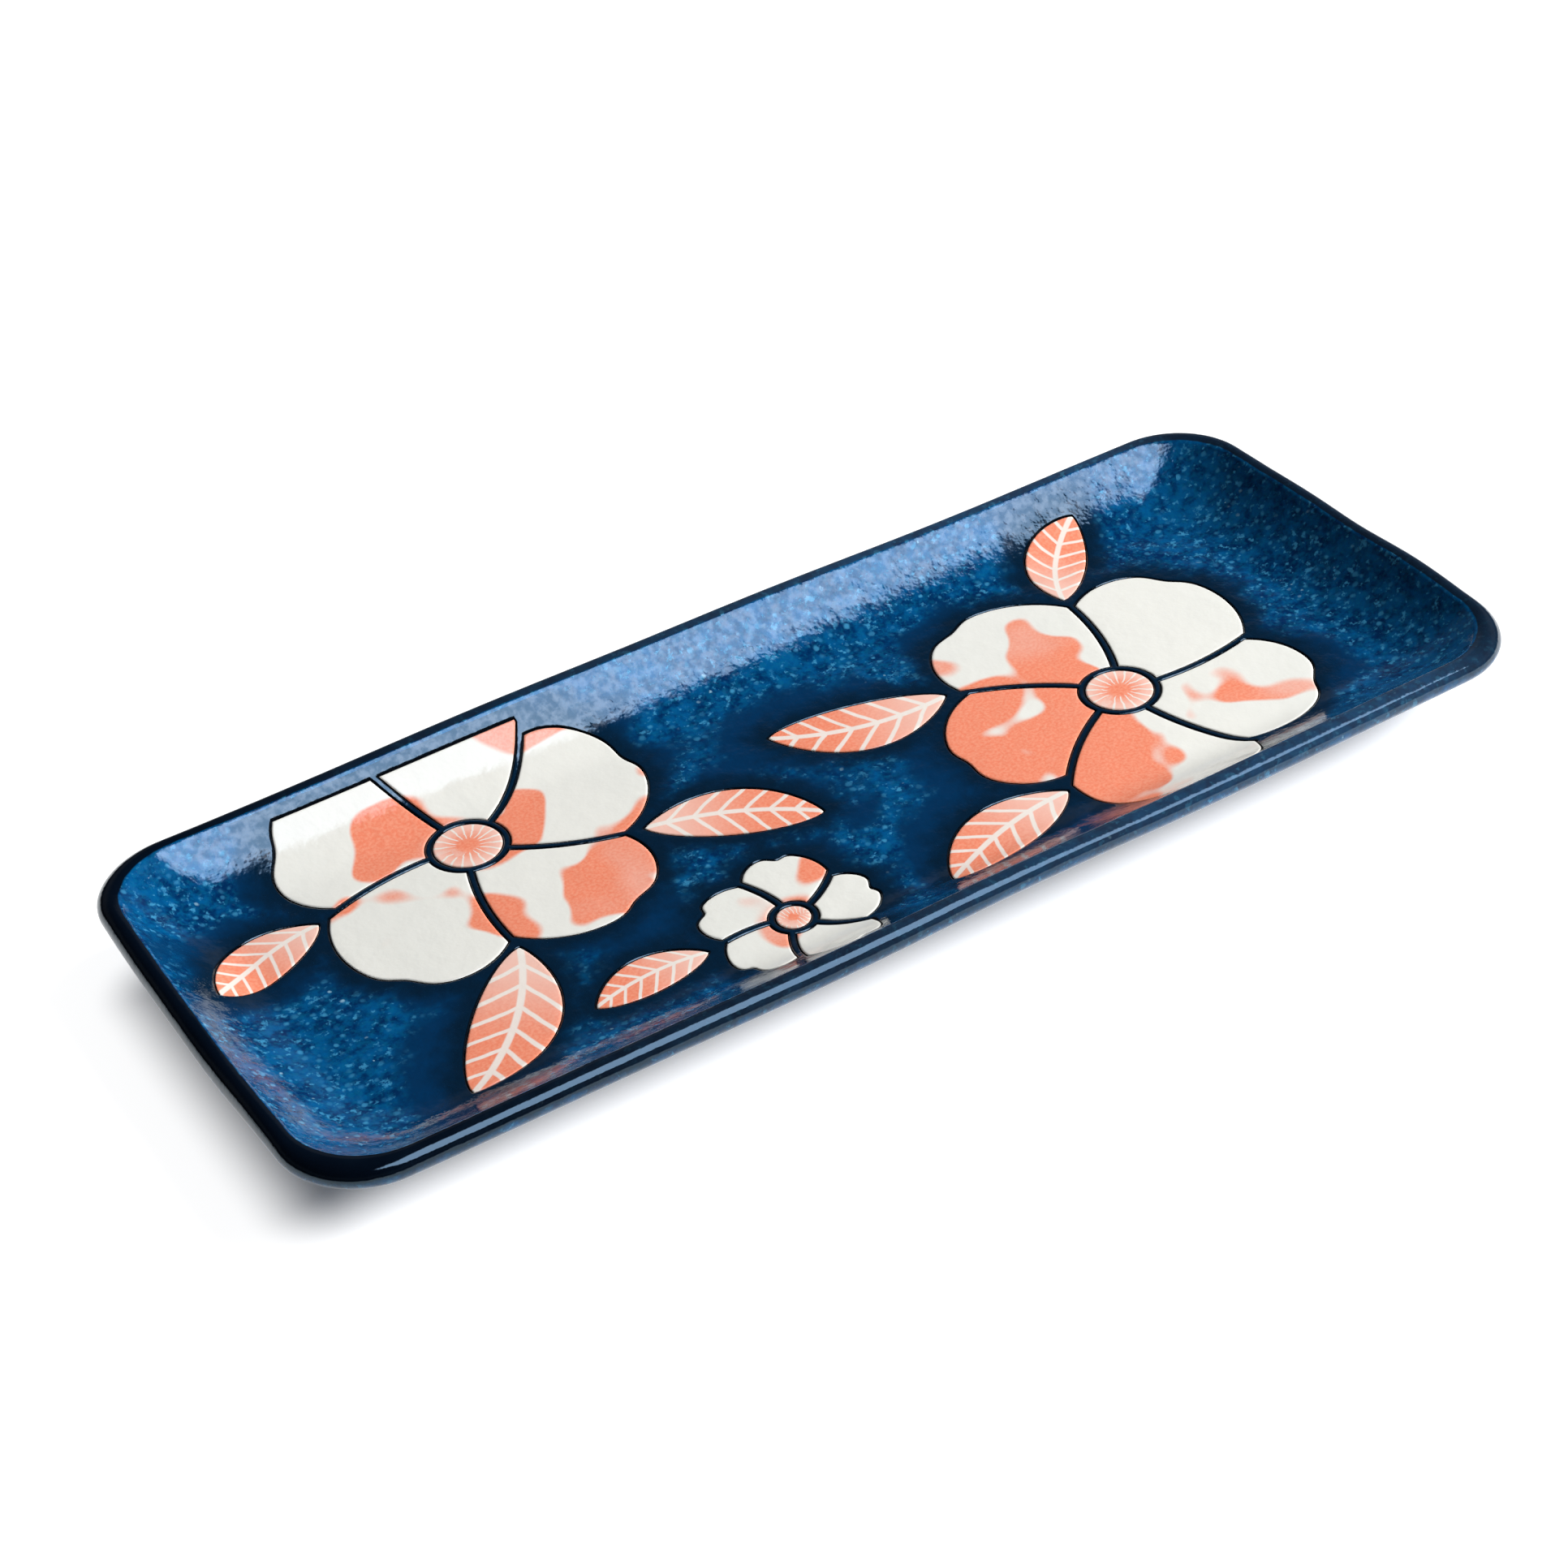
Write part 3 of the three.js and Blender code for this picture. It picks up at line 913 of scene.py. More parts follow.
# %% [markdown]
# The blue is a reactive glaze: in the kiln it breaks into azure and teal clots in a deeper
# ground, with countless paler flecks about a millimetre across. Noise makes the clots. The flecks
# come from noise for the crumbs and a cell texture for the dots: each cell draws its own size and
# strength, and a shaken vector makes their outlines ragged. A last mask, the film, is where the
# surface shines more.

# %% Flecks
SPOT_CORE = 0.35
FAINTNESS = 2.0


def flecks(tree, vector, cell, smallest, spread):
    """Soft flecks, one to a cell; their radii are in cells, from the smallest over a spread."""
    spots = add(tree, "ShaderNodeTexVoronoi", {"Vector": vector, "Scale": 1 / cell}).outputs
    dice = add(tree, "ShaderNodeSeparateColor", {0: spots["Color"]}).outputs
    radius = math_node(tree, "MULTIPLY_ADD", dice["Red"], spread, smallest)
    reached = math_node(tree, "DIVIDE", spots["Distance"], radius)
    spot = ramp(tree, reached, SPOT_CORE, 1.0, 1.0, 0.0)
    return math_node(tree, "MULTIPLY", spot, math_node(tree, "POWER", dice["Green"], FAINTNESS))


# %% [markdown]
# The clots come first. Their noise leans on a slower one, so parts of the plate are paler than
# others, as where a glaze was poured thicker.

# %% Clots of the blue glaze
CLOT, CLOT_RANGE = 3.4 * MM, (0.34, 0.68)
DRIFT, DRIFT_LEAN = 22 * MM, 0.5
TEAL, TEAL_RANGE = 1.1 * MM, (0.42, 0.7)
SHAKE, SHAKE_GRAIN = 0.9 * MM, 1.3 * MM

fleck_outputs = ("Clot", "Teal", "Fleck", "Bright", "Film")
fleck_group, fleck_vector, fleck_out = new_group("glaze_flecks", fleck_outputs)
shaker = add(fleck_group, "ShaderNodeTexNoise", {"Vector": fleck_vector, "Scale": 1 / SHAKE_GRAIN})
centred = vector_node(fleck_group, "SUBTRACT", shaker.outputs["Color"], (0.5, 0.5, 0.5))
shaken = vector_node(fleck_group, "MULTIPLY_ADD", centred, (SHAKE, SHAKE, SHAKE), fleck_vector)

drift = noise(fleck_group, fleck_vector, DRIFT, detail=3)
leaning = math_node(fleck_group, "MULTIPLY_ADD", drift, DRIFT_LEAN, -DRIFT_LEAN / 2)
clot = noise(fleck_group, fleck_vector, CLOT, detail=4, roughness=0.6)
clot = math_node(fleck_group, "ADD", clot, leaning)
teal = noise(fleck_group, shaken, TEAL, detail=2)
put_out(
    fleck_group,
    fleck_out,
    Clot=ramp(fleck_group, clot, *CLOT_RANGE),
    Teal=ramp(fleck_group, teal, *TEAL_RANGE),
)
print("clot nodes:", len(fleck_group.nodes))

# %% [markdown]
# Then the crumbs, the dots and a few bright specks. Crumbs and dots are joined by taking the
# larger of the two, because a sum would burn out to white where they meet.

# %% Flecks and film of the blue glaze
CRUMB, CRUMB_RANGE = 1.9 * MM, (0.57, 0.7)
DOT_CELL, DOT_RADII = 2 * MM, (0.16, 0.4)
BRIGHT_CELL, BRIGHT_RADII = 4.2 * MM, (0.05, 0.12)
FILM, FILM_RANGE = 2.1 * MM, (0.36, 0.68)

crumb = noise(fleck_group, fleck_vector, CRUMB, detail=3, roughness=0.6)
dots = flecks(fleck_group, shaken, DOT_CELL, *DOT_RADII)
film = noise(fleck_group, shaken, FILM, detail=2.5, roughness=0.6)
put_out(
    fleck_group,
    fleck_out,
    Fleck=math_node(fleck_group, "MAXIMUM", ramp(fleck_group, crumb, *CRUMB_RANGE), dots),
    Bright=flecks(fleck_group, shaken, BRIGHT_CELL, *BRIGHT_RADII),
    Film=ramp(fleck_group, film, *FILM_RANGE),
)
print("fleck nodes:", len(fleck_group.nodes))

# %% [markdown]
# Every glaze takes its gloss and its bump from the shared skin. A mask can calm the skin: on the
# lip the surface is pulled smooth, so the lamp's line along it stays clean.

# %% Gloss and bump
GLOSS_RANGE = (0.3, 0.7)
GLOSS_SPREAD = 0.25
CALMING = 0.7


def glaze_surface(tree, shader, vector, depth, rough, calm=None):
    """Gloss and dimpled skin for a glaze; calm is a mask of where the skin lies smoother."""
    skin = use_group(tree, skin_group, vector)
    height = skin["Height"]
    limits = ((1 - GLOSS_SPREAD) * rough, (1 + GLOSS_SPREAD) * rough)
    gloss = ramp(tree, skin["Gloss"], *GLOSS_RANGE, *limits)
    if calm is not None:
        settled = math_node(tree, "MULTIPLY_ADD", calm, -CALMING, 1.0)
        height = math_node(tree, "MULTIPLY", height, settled)
        gloss = math_node(tree, "MULTIPLY", gloss, settled)
    tree.links.new(gloss, shader.inputs["Roughness"])
    bump = add(tree, "ShaderNodeBump", {"Height": height, "Strength": 1.0, "Distance": depth})
    tree.links.new(bump.outputs["Normal"], shader.inputs["Normal"])


# %% [markdown]
# Round every figure the blue was wiped back. It fires darker there: a plain navy zone of uneven
# width, a deeper halo close by and a near-black line at the very edge. The zones come from a
# layer on the coat's vertices that holds the distance to the nearest figure, so they follow the
# shapes exactly, and noise added to that distance makes their outlines ragged.

# %% Ground and wiped zones
BLUE_DEEP = colour(0, 43, 90)
BLUE_AZURE = colour(2, 86, 142)
BLUE_TEAL = colour(10, 102, 142)
BLUE_FLECK = colour(66, 152, 198)
BLUE_BRIGHT = colour(150, 196, 220)
TEAL_SHARE = 0.4
FLECK_SHARE = 0.8
BLUE_WIPED = colour(4, 50, 90)
BLUE_HALO = colour(6, 32, 54)
HALO_RAG = 8 * MM
HALO = (-3.5 * MM, 5 * MM)
WIPED = (-3.5 * MM, 4 * MM)
WIPE_CLOUD = 26 * MM
WIPE_RANGE = (0.4, 0.62)
WIPE_REACH = 9 * MM


def blue_ground(tree, specks):
    """The open glaze: clots and flecks of several blues."""
    ground = mix(tree, specks["Clot"], BLUE_DEEP, BLUE_AZURE)
    ground = mix(tree, share_of(tree, specks["Teal"], TEAL_SHARE), ground, BLUE_TEAL)
    ground = mix(tree, share_of(tree, specks["Fleck"], FLECK_SHARE), ground, BLUE_FLECK)
    return mix(tree, share_of(tree, specks["Bright"], FLECK_SHARE), ground, BLUE_BRIGHT)


def wiped_back(tree, vector, ragged, distance, ground):
    """The ground with the wiped zone and the halo round the figures."""
    reach = math_node(tree, "MULTIPLY_ADD", ragged, -HALO_RAG, distance)
    cloud = noise(tree, vector, WIPE_CLOUD, detail=1)
    wiping = ramp(tree, cloud, *WIPE_RANGE, 0.0, WIPE_REACH)
    unwiped = ramp(tree, math_node(tree, "SUBTRACT", reach, wiping), *WIPED)
    body = mix(tree, unwiped, BLUE_WIPED, ground)
    return mix(tree, ramp(tree, reach, *HALO), BLUE_HALO, body)


# %% [markdown]
# On the lip the glaze runs thin and fires almost black. Along the right half of the long sides the
# thin glaze shows grey with some of the mottling let through. Its growing towards the right is
# painted light from the lamp on the right, and it fades out again near the right end. The mask for
# it is the coat's lip layer. The film is a clear coat in patches, so a lamp's reflection breaks up
# into paler and darker spots.

# %% Blue glaze
LIP_DARK = colour(4, 13, 26)
# Painted light: the lip's thin grey, and the run along the plate over which it grows towards the
# lamp on the right.
LIP_THIN_AND_PAINTED_LIT = colour(44, 59, 76)
LIP_PAINTED_LIGHT_RUN = (-120 * MM, 150 * MM)
LIP_DARKENS = (118 * MM, 146 * MM)
END_THINNESS = 0.18
LIP_SHIFT = 60 * MM
LIP_SHOWS = 0.3
LIP_RAG = 0.6
LIP_COVER = (0.6, 1.0)
BLUE_LINE = colour(3, 8, 16)
LINE_FADE = (0.15 * MM, 0.5 * MM)
RAG = 5 * MM
BLUE_IOR = 1.5
BLUE_SHINE = (0.55, 0.8, 1.0, 1)
BLUE_DIMPLES = 0.28 * MM
BLUE_ROUGHNESS = 0.11
FILM_IOR = 1.5
FILM_WEIGHT = 0.55
FILM_END = 0.4
FILM_ROUGHNESS = 0.1


def thin_lip_with_painted_light(tree, vector, ragged, lip, body):
    """The body with the lip's thin dark glaze over it, greyed towards the right by painted light.
    """
    along = add(tree, "ShaderNodeSeparateXYZ", {0: vector}).outputs["X"]
    shifted = math_node(tree, "MULTIPLY_ADD", ragged, LIP_SHIFT, along)
    short_of_end = ramp(tree, along, *LIP_DARKENS, 1.0, END_THINNESS)
    # Painted light: the lip turns from near black to a lit grey towards the right.
    thin_and_painted_light = math_node(tree, "MULTIPLY", ramp(tree, shifted, *LIP_PAINTED_LIGHT_RUN), short_of_end)
    ragged_lip = math_node(tree, "MULTIPLY_ADD", ragged, LIP_RAG, lip)
    cover = math_node(tree, "MULTIPLY_ADD", thin_and_painted_light, -LIP_SHOWS, 1.0)
    cover = math_node(tree, "MULTIPLY", cover, ramp(tree, ragged_lip, *LIP_COVER))
    return mix(tree, cover, body, mix(tree, thin_and_painted_light, LIP_DARK, LIP_THIN_AND_PAINTED_LIT))


def make_blue_glaze():
    material, tree, shader, vector = new_material("blue_reactive_glaze")
    specks = use_group(tree, fleck_group, vector)
    distance = attribute(tree, "figure_distance")
    lip = attribute(tree, "lip")
    ragged = noise(tree, vector, RAG, detail=4)
    body = wiped_back(tree, vector, ragged, distance, blue_ground(tree, specks))
    # The lip's thin glaze, with painted light greying it towards the right.
    body = thin_lip_with_painted_light(tree, vector, ragged, lip, body)
    body = mix(tree, ramp(tree, distance, *LINE_FADE, 1.0, 0.0), body, BLUE_LINE)
    tree.links.new(body, shader.inputs["Base Color"])
    shader.inputs["Specular Tint"].default_value = BLUE_SHINE
    shader.inputs["IOR"].default_value = BLUE_IOR
    off_lip = ramp(tree, lip, 0.0, FILM_END, FILM_WEIGHT, 0.0)
    film = math_node(tree, "MULTIPLY", specks["Film"], off_lip)
    tree.links.new(film, shader.inputs["Coat Weight"])
    shader.inputs["Coat IOR"].default_value = FILM_IOR
    shader.inputs["Coat Roughness"].default_value = FILM_ROUGHNESS
    glaze_surface(tree, shader, vector, BLUE_DIMPLES, BLUE_ROUGHNESS, calm=lip)
    return material


blue_glaze = make_blue_glaze()
print("blue glaze nodes:", len(blue_glaze.node_tree.nodes))

# %% [markdown]
# ## White and coral glaze
# The figures are sprayed: warm white first, then coral through a loose stencil, so a patch has a
# soft edge one or two millimetres wide and a fine grain of droplets. The patch is a group,
# because petals, hearts and leaves all have it. Leaves are paler at their base and have white
# veins scratched in.

# %% Sprayed patches
PATCH, PATCH_EDGE = 21 * MM, (0.525, 0.565)
CLOUD, CLOUD_RANGE, CLOUD_STRENGTH = 30 * MM, (0.3, 0.55), (0.7, 1.0)
DROPLET, DROPLET_RANGE = 0.7 * MM, (0.3, 0.7)

patch_group, patch_vector, patch_out = new_group("sprayed_patch", ("Patch", "Grain"))
patch = noise(patch_group, patch_vector, PATCH, detail=1.2, roughness=0.4, distortion=0.15)
cloud = noise(patch_group, patch_vector, CLOUD, detail=2)
edge = ramp(patch_group, patch, *PATCH_EDGE)
strength = ramp(patch_group, cloud, *CLOUD_RANGE, *CLOUD_STRENGTH)
droplets = noise(patch_group, patch_vector, DROPLET, detail=2)
put_out(
    patch_group,
    patch_out,
    Patch=math_node(patch_group, "MULTIPLY", edge, strength),
    Grain=ramp(patch_group, droplets, *DROPLET_RANGE),
)
print("patch nodes:", len(patch_group.nodes))

# %% [markdown]
# The petals are warm white with coral patches. The white drifts between two close tones, because
# one flat white looks like plastic.

# %% Petal glaze
WARM_WHITE = colour(244, 243, 236)
COOL_WHITE = colour(234, 235, 229)
CORAL = colour(246, 138, 106)
CORAL_LIGHT = colour(250, 160, 130)
PALE_IOR = 1.36
PALE_DIMPLES = 0.12 * MM
PALE_ROUGHNESS = 0.1


def pale_finish(tree, shader, vector, body):
    """Colour, shine and skin of a pale glaze."""
    tree.links.new(body, shader.inputs["Base Color"])
    shader.inputs["IOR"].default_value = PALE_IOR
    glaze_surface(tree, shader, vector, PALE_DIMPLES, PALE_ROUGHNESS)


def make_petal_glaze():
    material, tree, shader, vector = new_material("white_petal_glaze")
    spray = use_group(tree, patch_group, vector)
    white = mix(tree, noise(tree, vector, CLOUD, detail=3), COOL_WHITE, WARM_WHITE)
    coral = mix(tree, spray["Grain"], CORAL, CORAL_LIGHT)
    pale_finish(tree, shader, vector, mix(tree, spray["Patch"], white, coral))
    return material


petal_glaze = make_petal_glaze()
print("petal glaze nodes:", len(petal_glaze.node_tree.nodes))

# %% [markdown]
# On a leaf the coral fades towards the base. Its veins are a wave along the leaf that is swept
# back with the distance from the middle vein and wavers a little, as lines scratched by hand do.

# %% Leaf glaze
BLUSH = colour(250, 205, 190)
BLUSH_END = 0.7
VEIN_COUNT = 7
VEIN_SWEEP = 0.16
VEIN_EDGE = (0.07, 0.14)
MIDDLE_EDGE = (0.06, 0.11)
WAVER, WAVER_SHARE = 7 * MM, 0.03
SCRATCH = 0.85


def make_leaf_glaze():
    material, tree, shader, vector = new_material("coral_leaf_glaze")
    spray = use_group(tree, patch_group, vector)
    along = attribute(tree, "along")
    off_middle = math_node(tree, "ABSOLUTE", attribute(tree, "across"))
    swept = math_node(tree, "MULTIPLY_ADD", off_middle, -VEIN_SWEEP, along)
    waver = noise(tree, vector, WAVER, detail=1)
    swept = math_node(tree, "MULTIPLY_ADD", waver, WAVER_SHARE, swept)
    phase = math_node(tree, "PINGPONG", math_node(tree, "MULTIPLY", swept, VEIN_COUNT), 0.5)
    veins = ramp(tree, phase, *VEIN_EDGE, 1.0, 0.0)
    middle = ramp(tree, off_middle, *MIDDLE_EDGE, 1.0, 0.0)
    lines = share_of(tree, math_node(tree, "MAXIMUM", veins, middle), SCRATCH)
    coral = mix(tree, spray["Grain"], CORAL, CORAL_LIGHT)
    body = mix(tree, ramp(tree, along, 0.0, BLUSH_END), BLUSH, coral)
    pale_finish(tree, shader, vector, mix(tree, lines, body, WARM_WHITE))
    return material


leaf_glaze = make_leaf_glaze()
print("leaf glaze nodes:", len(leaf_glaze.node_tree.nodes))

# %% [markdown]
# A heart has rays scratched round a plain middle. They are the same wave, run round the heart
# instead of along a leaf.

# %% Heart glaze
RAY_COUNT = 9
RAY_EDGE = (0.06, 0.16)
RAY_START = (0.3, 0.4)
HEART_BLUSH = (0.2, 1.0)


def make_heart_glaze():
    material, tree, shader, vector = new_material("coral_heart_glaze")
    spray = use_group(tree, patch_group, vector)
    out = attribute(tree, "along")
    turns = math_node(tree, "MULTIPLY", attribute(tree, "across"), RAY_COUNT)
    phase = math_node(tree, "PINGPONG", turns, 0.5)
    lines = ramp(tree, phase, *RAY_EDGE, 1.0, 0.0)
    rays = math_node(tree, "MULTIPLY", lines, ramp(tree, out, *RAY_START))
    coral = mix(tree, spray["Grain"], CORAL, CORAL_LIGHT)
    body = mix(tree, ramp(tree, out, *HEART_BLUSH), coral, BLUSH)
    pale_finish(tree, shader, vector, mix(tree, share_of(tree, rays, SCRATCH), body, WARM_WHITE))
    return material


heart_glaze = make_heart_glaze()
print("heart glaze nodes:", len(heart_glaze.node_tree.nodes))

# %% [markdown]
# ## Bare clay
# The foot and the narrow bands beside it are unglazed stoneware: matt, gritty and warm, rubbed
# paler where the foot stands on the table. Under the glaze the same clay is stained dark, which
# is what the fine line round each figure shows.

# %% Clay
CLAY_BODY = colour(188, 160, 128)
CLAY_PALE = colour(206, 182, 152)
CLAY_GRIT = colour(120, 92, 66)
CLAY_STAIN = colour(4, 9, 18)
CLAY_CLOUD = 12 * MM
GRIT, GRIT_RANGE = 1.3 * MM, (0.62, 0.72)
RUBBED_HEIGHT, RUBBED_SHARE = 1 * MM, 0.6
STAIN_FROM = (UNDERSIDE + 1.2 * MM, UNDERSIDE + 1.8 * MM)
TOOTH, TOOTH_DEPTH = 0.5 * MM, 0.12 * MM
TOOTH_RANGE, TOOTH_ROUGHNESS = (0.2, 0.8), (0.75, 0.95)


def make_clay():
    material, tree, shader, vector = new_material("bare_stoneware")
    height = add(tree, "ShaderNodeSeparateXYZ", {0: vector}).outputs["Z"]
    body = mix(tree, noise(tree, vector, CLAY_CLOUD, detail=5), CLAY_BODY, CLAY_PALE)
    grit = ramp(tree, noise(tree, vector, GRIT, detail=2), *GRIT_RANGE)
    body = mix(tree, grit, body, CLAY_GRIT)
    body = mix(tree, ramp(tree, height, 0.0, RUBBED_HEIGHT, RUBBED_SHARE, 0.0), body, CLAY_PALE)
    body = mix(tree, ramp(tree, height, *STAIN_FROM), body, CLAY_STAIN)
    tree.links.new(body, shader.inputs["Base Color"])
    tooth = noise(tree, vector, TOOTH, detail=4)
    roughness = ramp(tree, tooth, *TOOTH_RANGE, *TOOTH_ROUGHNESS)
    tree.links.new(roughness, shader.inputs["Roughness"])
    bump = {"Height": tooth, "Strength": 1.0, "Distance": TOOTH_DEPTH}
    normal = add(tree, "ShaderNodeBump", bump).outputs["Normal"]
    tree.links.new(normal, shader.inputs["Normal"])
    return material


clay = make_clay()
print("clay nodes:", len(clay.node_tree.nodes))

# %% [markdown]
# Each piece takes the material of its kind. The clay slab belongs to the construction, so only
# its slots change and its mesh stays as it is.

# %% Give each piece its finish
GLAZE_OF = {petal_outline: petal_glaze, heart_outline: heart_glaze, leaf_outline: leaf_glaze}

for name in FIGURES:
    made_pieces[f"{name}_inlay"].data.materials.append(GLAZE_OF[FIGURES[name][0]])
for name in ("blue_coat", "base_panel"):
    made_pieces[name].data.materials.append(blue_glaze)
made_pieces["foot_band"].data.materials.append(clay)
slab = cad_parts["clay_slab"]
for slot in slab.material_slots:
    slot.material = clay
print("finished pieces:", len(made_pieces) + 1)

# %% [markdown]
# ## Floor and light
# A pale floor catches the plate's soft shadow. The camera sees it brighter than its light makes
# it: hardly beside the plate and more further off, so the shadow stays close and the rest reads
# as white. The glaze mirrors the same floor. From below it lets the view through, so the foot can
# be looked at.

# %% Floor
FLOOR_SIZE = 8
FLOOR_TONE = (0.92, 0.92, 0.92, 1)
EDGE_LIFT = (0.1, 0.92)
EDGE_REACH = 19 * MM
FAR_LIFT = 0.15
FAR_REACH = (0.1, 0.9)
SHADE_INSET = (10 * MM, 25 * MM)

floor_mesh = bpy.data.meshes.new("floor")
floor_bm = bmesh.new()
bmesh.ops.create_grid(floor_bm, x_segments=1, y_segments=1, size=FLOOR_SIZE / 2)
floor_bm.to_mesh(floor_mesh)
floor_bm.free()
floor = bpy.data.objects.new("floor", floor_mesh)
scene.collection.objects.link(floor)

floor_material = bpy.data.materials.new("pale_floor")
floor_material.use_nodes = True
floor_tree = floor_material.node_tree
floor_tree.nodes.clear()
matt = add(floor_tree, "ShaderNodeBsdfDiffuse", {"Color": FLOOR_TONE}).outputs[0]
floor_place = add(floor_tree, "ShaderNodeTexCoord").outputs["Object"]
shade = (HALF_LENGTH - SHADE_INSET[0], HALF_WIDTH - SHADE_INSET[1], 0)
folded = vector_node(floor_tree, "ABSOLUTE", floor_place)
beyond = vector_node(floor_tree, "SUBTRACT", folded, shade)
away = vector_node(floor_tree, "LENGTH", vector_node(floor_tree, "MAXIMUM", beyond, (0, 0, 0)))
lift = ramp(floor_tree, away, 0.0, EDGE_REACH, *EDGE_LIFT)
lift = math_node(floor_tree, "ADD", lift, ramp(floor_tree, away, *FAR_REACH, 0.0, FAR_LIFT))
glow = add(floor_tree, "ShaderNodeEmission", {"Strength": lift}).outputs[0]
lifted = add(floor_tree, "ShaderNodeAddShader", {0: matt, 1: glow}).outputs[0]
path = add(floor_tree, "ShaderNodeLightPath").outputs
seen = math_node(floor_tree, "MAXIMUM", path["Is Camera Ray"], path["Is Glossy Ray"])
seen = math_node(floor_tree, "MAXIMUM", seen, path["Is Transmission Ray"])
shown = add(floor_tree, "ShaderNodeMixShader", {0: seen, 1: matt, 2: lifted}).outputs[0]
clear = add(floor_tree, "ShaderNodeBsdfTransparent").outputs[0]
below = add(floor_tree, "ShaderNodeNewGeometry").outputs["Backfacing"]
sided = add(floor_tree, "ShaderNodeMixShader", {0: below, 1: shown, 2: clear}).outputs[0]
add(floor_tree, "ShaderNodeOutputMaterial", {"Surface": sided})
floor_mesh.materials.append(floor_material)
print("floor:", FLOOR_SIZE, "m wide")

# %% [markdown]
# The world has two jobs. For diffuse light it is a dim fill that falls off to the left, so the
# walls that turn away from the lamp stay dark. For the glaze to mirror it is a plain room: white
# at the horizon like the floor, then a dim backdrop, strongest at the right, then dark, with one
# long panel hung overhead at the front right. The panel makes the pale band on the far wall and
# the line along the near lip. It is measured on a plane one metre up, where it is a simple
# rectangle.

# %% The panel overhead
PANEL = (6.4, 7.3, 8.8, 1)
PANEL_TURN = math.radians(36)
PANEL_SIDES = (-0.4, 0.31)
PANEL_ENDS = (0.24, 1.2)
SIDE_SOFT = 0.05
END_SOFT = 0.06
LEAST_RISE = 0.05


def between(tree, value, limits, soft):
    """One between two limits, nought outside them, with soft ends."""
    above = ramp(tree, value, limits[0] - soft, limits[0] + soft)
    below = ramp(tree, value, limits[1] - soft, limits[1] + soft, 1.0, 0.0)
    return math_node(tree, "MULTIPLY", above, below)


def overhead(tree, axes, heading):
    """Where a direction meets a plane one metre up, measured from the middle along a heading."""
    run_y = math_node(tree, "MULTIPLY", axes["Y"], heading[1])
    run = math_node(tree, "MULTIPLY_ADD", axes["X"], heading[0], run_y)
    return math_node(tree, "DIVIDE", run, math_node(tree, "MAXIMUM", axes["Z"], LEAST_RISE))


def panel_mask(tree, axes):
    """One where a direction meets the panel."""
    lengthwise = overhead(tree, axes, (math.sin(PANEL_TURN), -math.cos(PANEL_TURN)))
    sideways = overhead(tree, axes, (math.cos(PANEL_TURN), math.sin(PANEL_TURN)))
    in_length = between(tree, lengthwise, PANEL_ENDS, END_SOFT)
    return math_node(tree, "MULTIPLY", in_length, between(tree, sideways, PANEL_SIDES, SIDE_SOFT))


# %% [markdown]
# The room is mixed from the back to the front: dark, backdrop, horizon, panel. Light Path then
# sorts who sees what: the camera plain white, reflections the room, and all other rays the fill.

# %% World
FILL_LEVELS = (0.02, 0.16)
FILL_SIDES = (-0.5, 0.3)
WHITE = (1, 1, 1, 1)
HORIZON = (0.03, 0.1)
BACKDROP = (0.13, 0.13, 0.14, 1)
BACKDROP_RISE = (0.26, 0.5)
BACKDROP_SOFT = 0.08
BACKDROP_SIDES = (0.2, 0.6)
BACKDROP_LEAST = 0.45
DARK_ROOM = (0.015, 0.015, 0.018, 1)

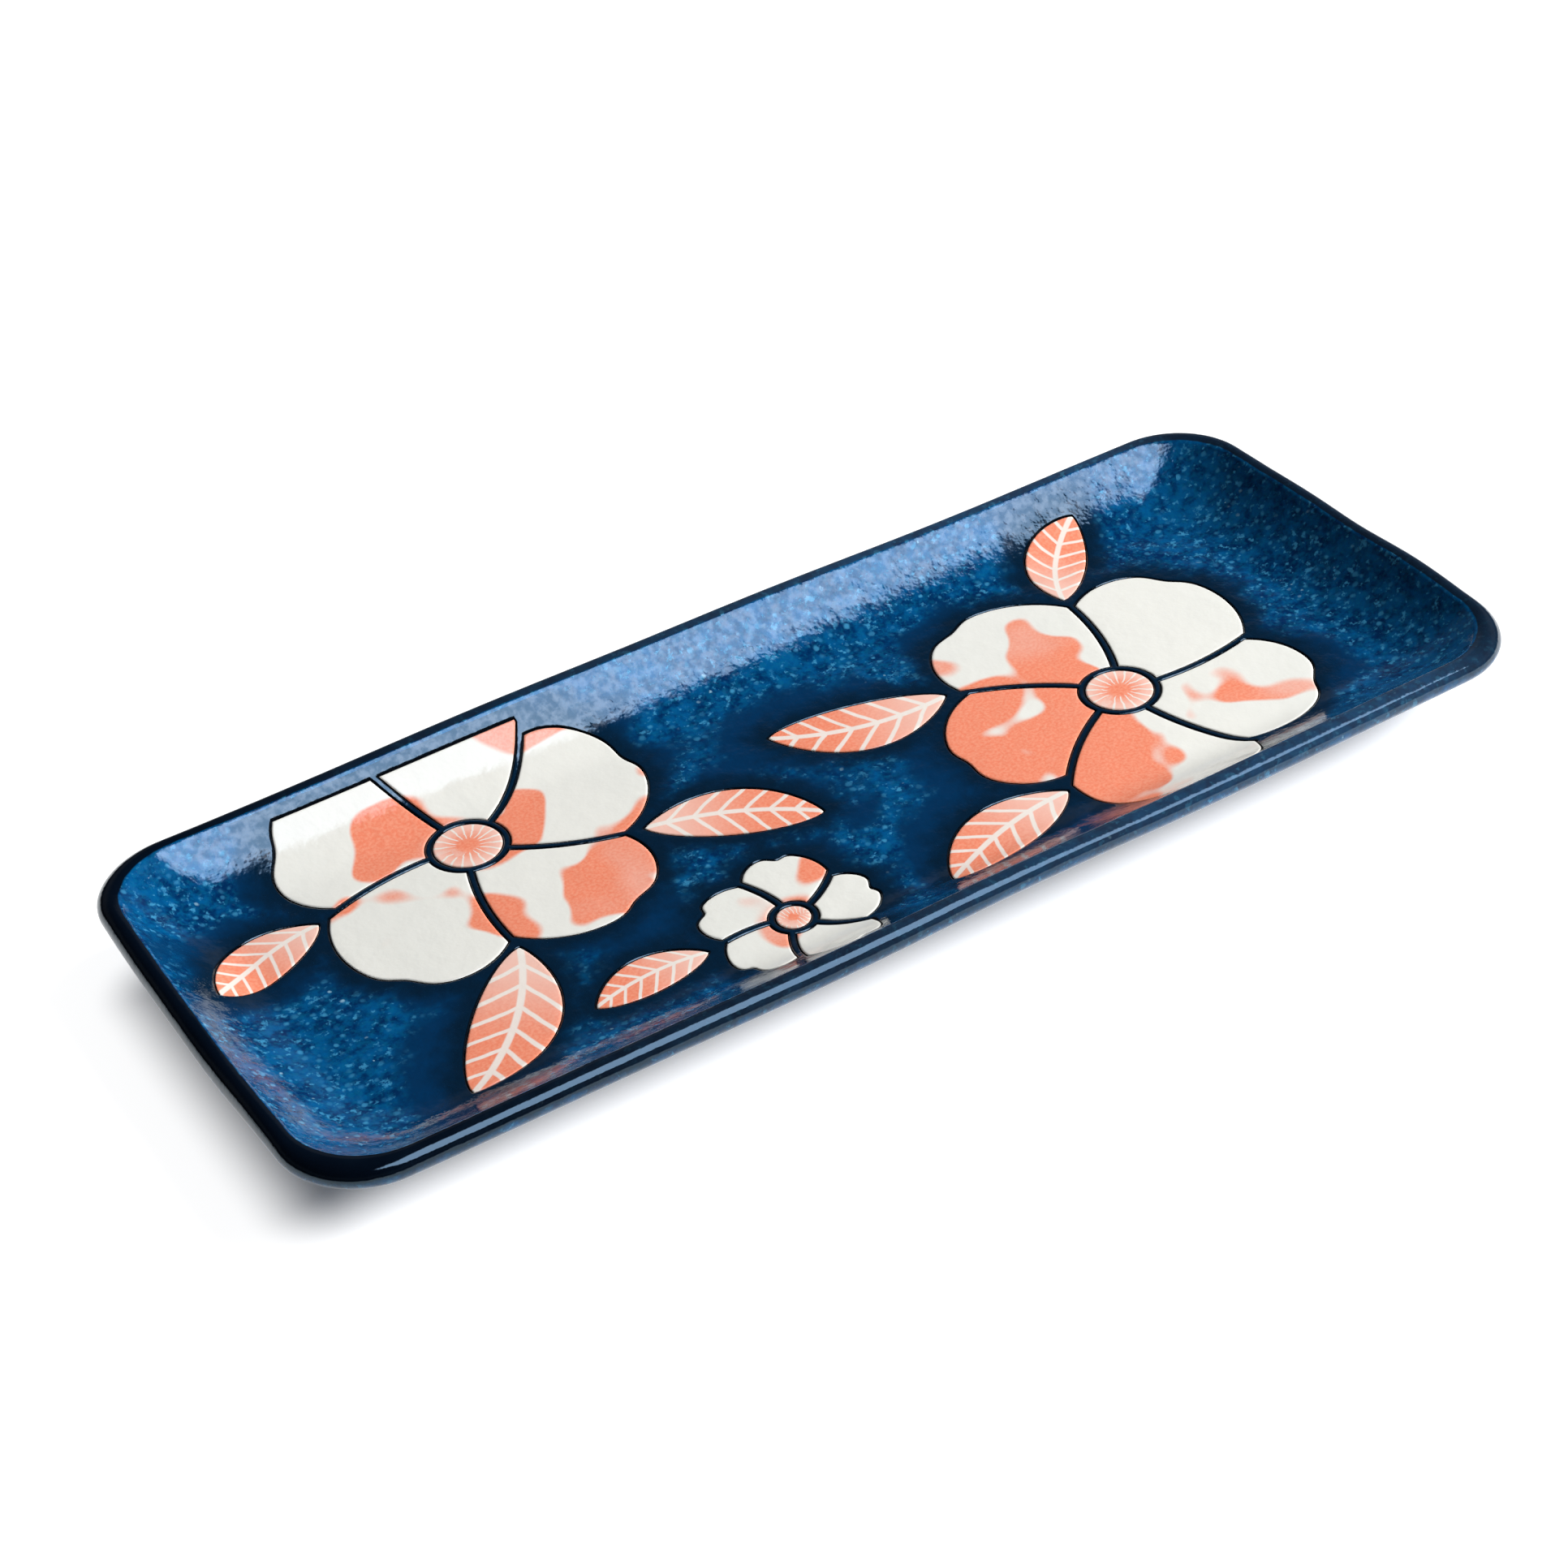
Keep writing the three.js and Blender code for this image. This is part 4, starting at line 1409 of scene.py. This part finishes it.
world = bpy.data.worlds.new("studio")
scene.world = world
world.use_nodes = True
sky = world.node_tree
sky.nodes.clear()
direction = add(sky, "ShaderNodeTexCoord").outputs["Generated"]
axes = add(sky, "ShaderNodeSeparateXYZ", {0: direction}).outputs
backdrop = between(sky, axes["Z"], BACKDROP_RISE, BACKDROP_SOFT)
to_right = ramp(sky, axes["X"], *BACKDROP_SIDES, BACKDROP_LEAST, 1.0)
backdrop = math_node(sky, "MULTIPLY", backdrop, to_right)
room = mix(sky, backdrop, DARK_ROOM, BACKDROP)
room = mix(sky, ramp(sky, axes["Z"], *HORIZON, 1.0, 0.0), room, WHITE)
room = mix(sky, panel_mask(sky, axes), room, PANEL)

path = add(sky, "ShaderNodeLightPath").outputs
fill_level = ramp(sky, axes["X"], *FILL_SIDES, *FILL_LEVELS)
fill = add(sky, "ShaderNodeBackground", {"Color": WHITE, "Strength": fill_level}).outputs[0]
mirrored = add(sky, "ShaderNodeBackground", {"Color": room, "Strength": 1.0}).outputs[0]
white = add(sky, "ShaderNodeBackground", {"Color": WHITE, "Strength": 1.0}).outputs[0]
shiny = math_node(sky, "MAXIMUM", path["Is Glossy Ray"], path["Is Transmission Ray"])
lit = add(sky, "ShaderNodeMixShader", {0: shiny, 1: fill, 2: mirrored}).outputs[0]
seen = add(sky, "ShaderNodeMixShader", {0: path["Is Camera Ray"], 1: lit, 2: white}).outputs[0]
add(sky, "ShaderNodeOutputWorld", {"Surface": seen})
print("world nodes:", len(sky.nodes))

# %% [markdown]
# One large soft box on the right is the key light. It stands low, so the wall below it stays dark
# and the wall across from it is bright, as in the photograph. Reflections leave it out, because
# the panel overhead is already there.

# %% Key light
KEY_AZIMUTH = math.radians(75)
KEY_ELEVATION = math.radians(36)
KEY_DISTANCE = 2.2
KEY_SIZE = 1.6
KEY_RADIANCE = 10.7

level = math.cos(KEY_ELEVATION)
key_ground = Vector((math.sin(KEY_AZIMUTH), -math.cos(KEY_AZIMUTH))) * level
key_way = Vector((*key_ground, math.sin(KEY_ELEVATION)))
key_data = bpy.data.lights.new("key_box", "AREA")
key_data.size = KEY_SIZE
key_data.energy = KEY_RADIANCE * math.pi * KEY_SIZE**2
key_box = bpy.data.objects.new("key_box", key_data)
key_box.location = key_way * KEY_DISTANCE
key_box.rotation_euler = (-key_way).to_track_quat("-Z", "Y").to_euler()
key_box.visible_glossy = False
scene.collection.objects.link(key_box)
print("key light at", [round(side, 2) for side in key_box.location], "m")

# %% [markdown]
# The Standard view shows every colour as it was written, without a film-like curve.

# %% Colour as written
scene.view_settings.view_transform = "Standard"
print("view:", scene.view_settings.view_transform)
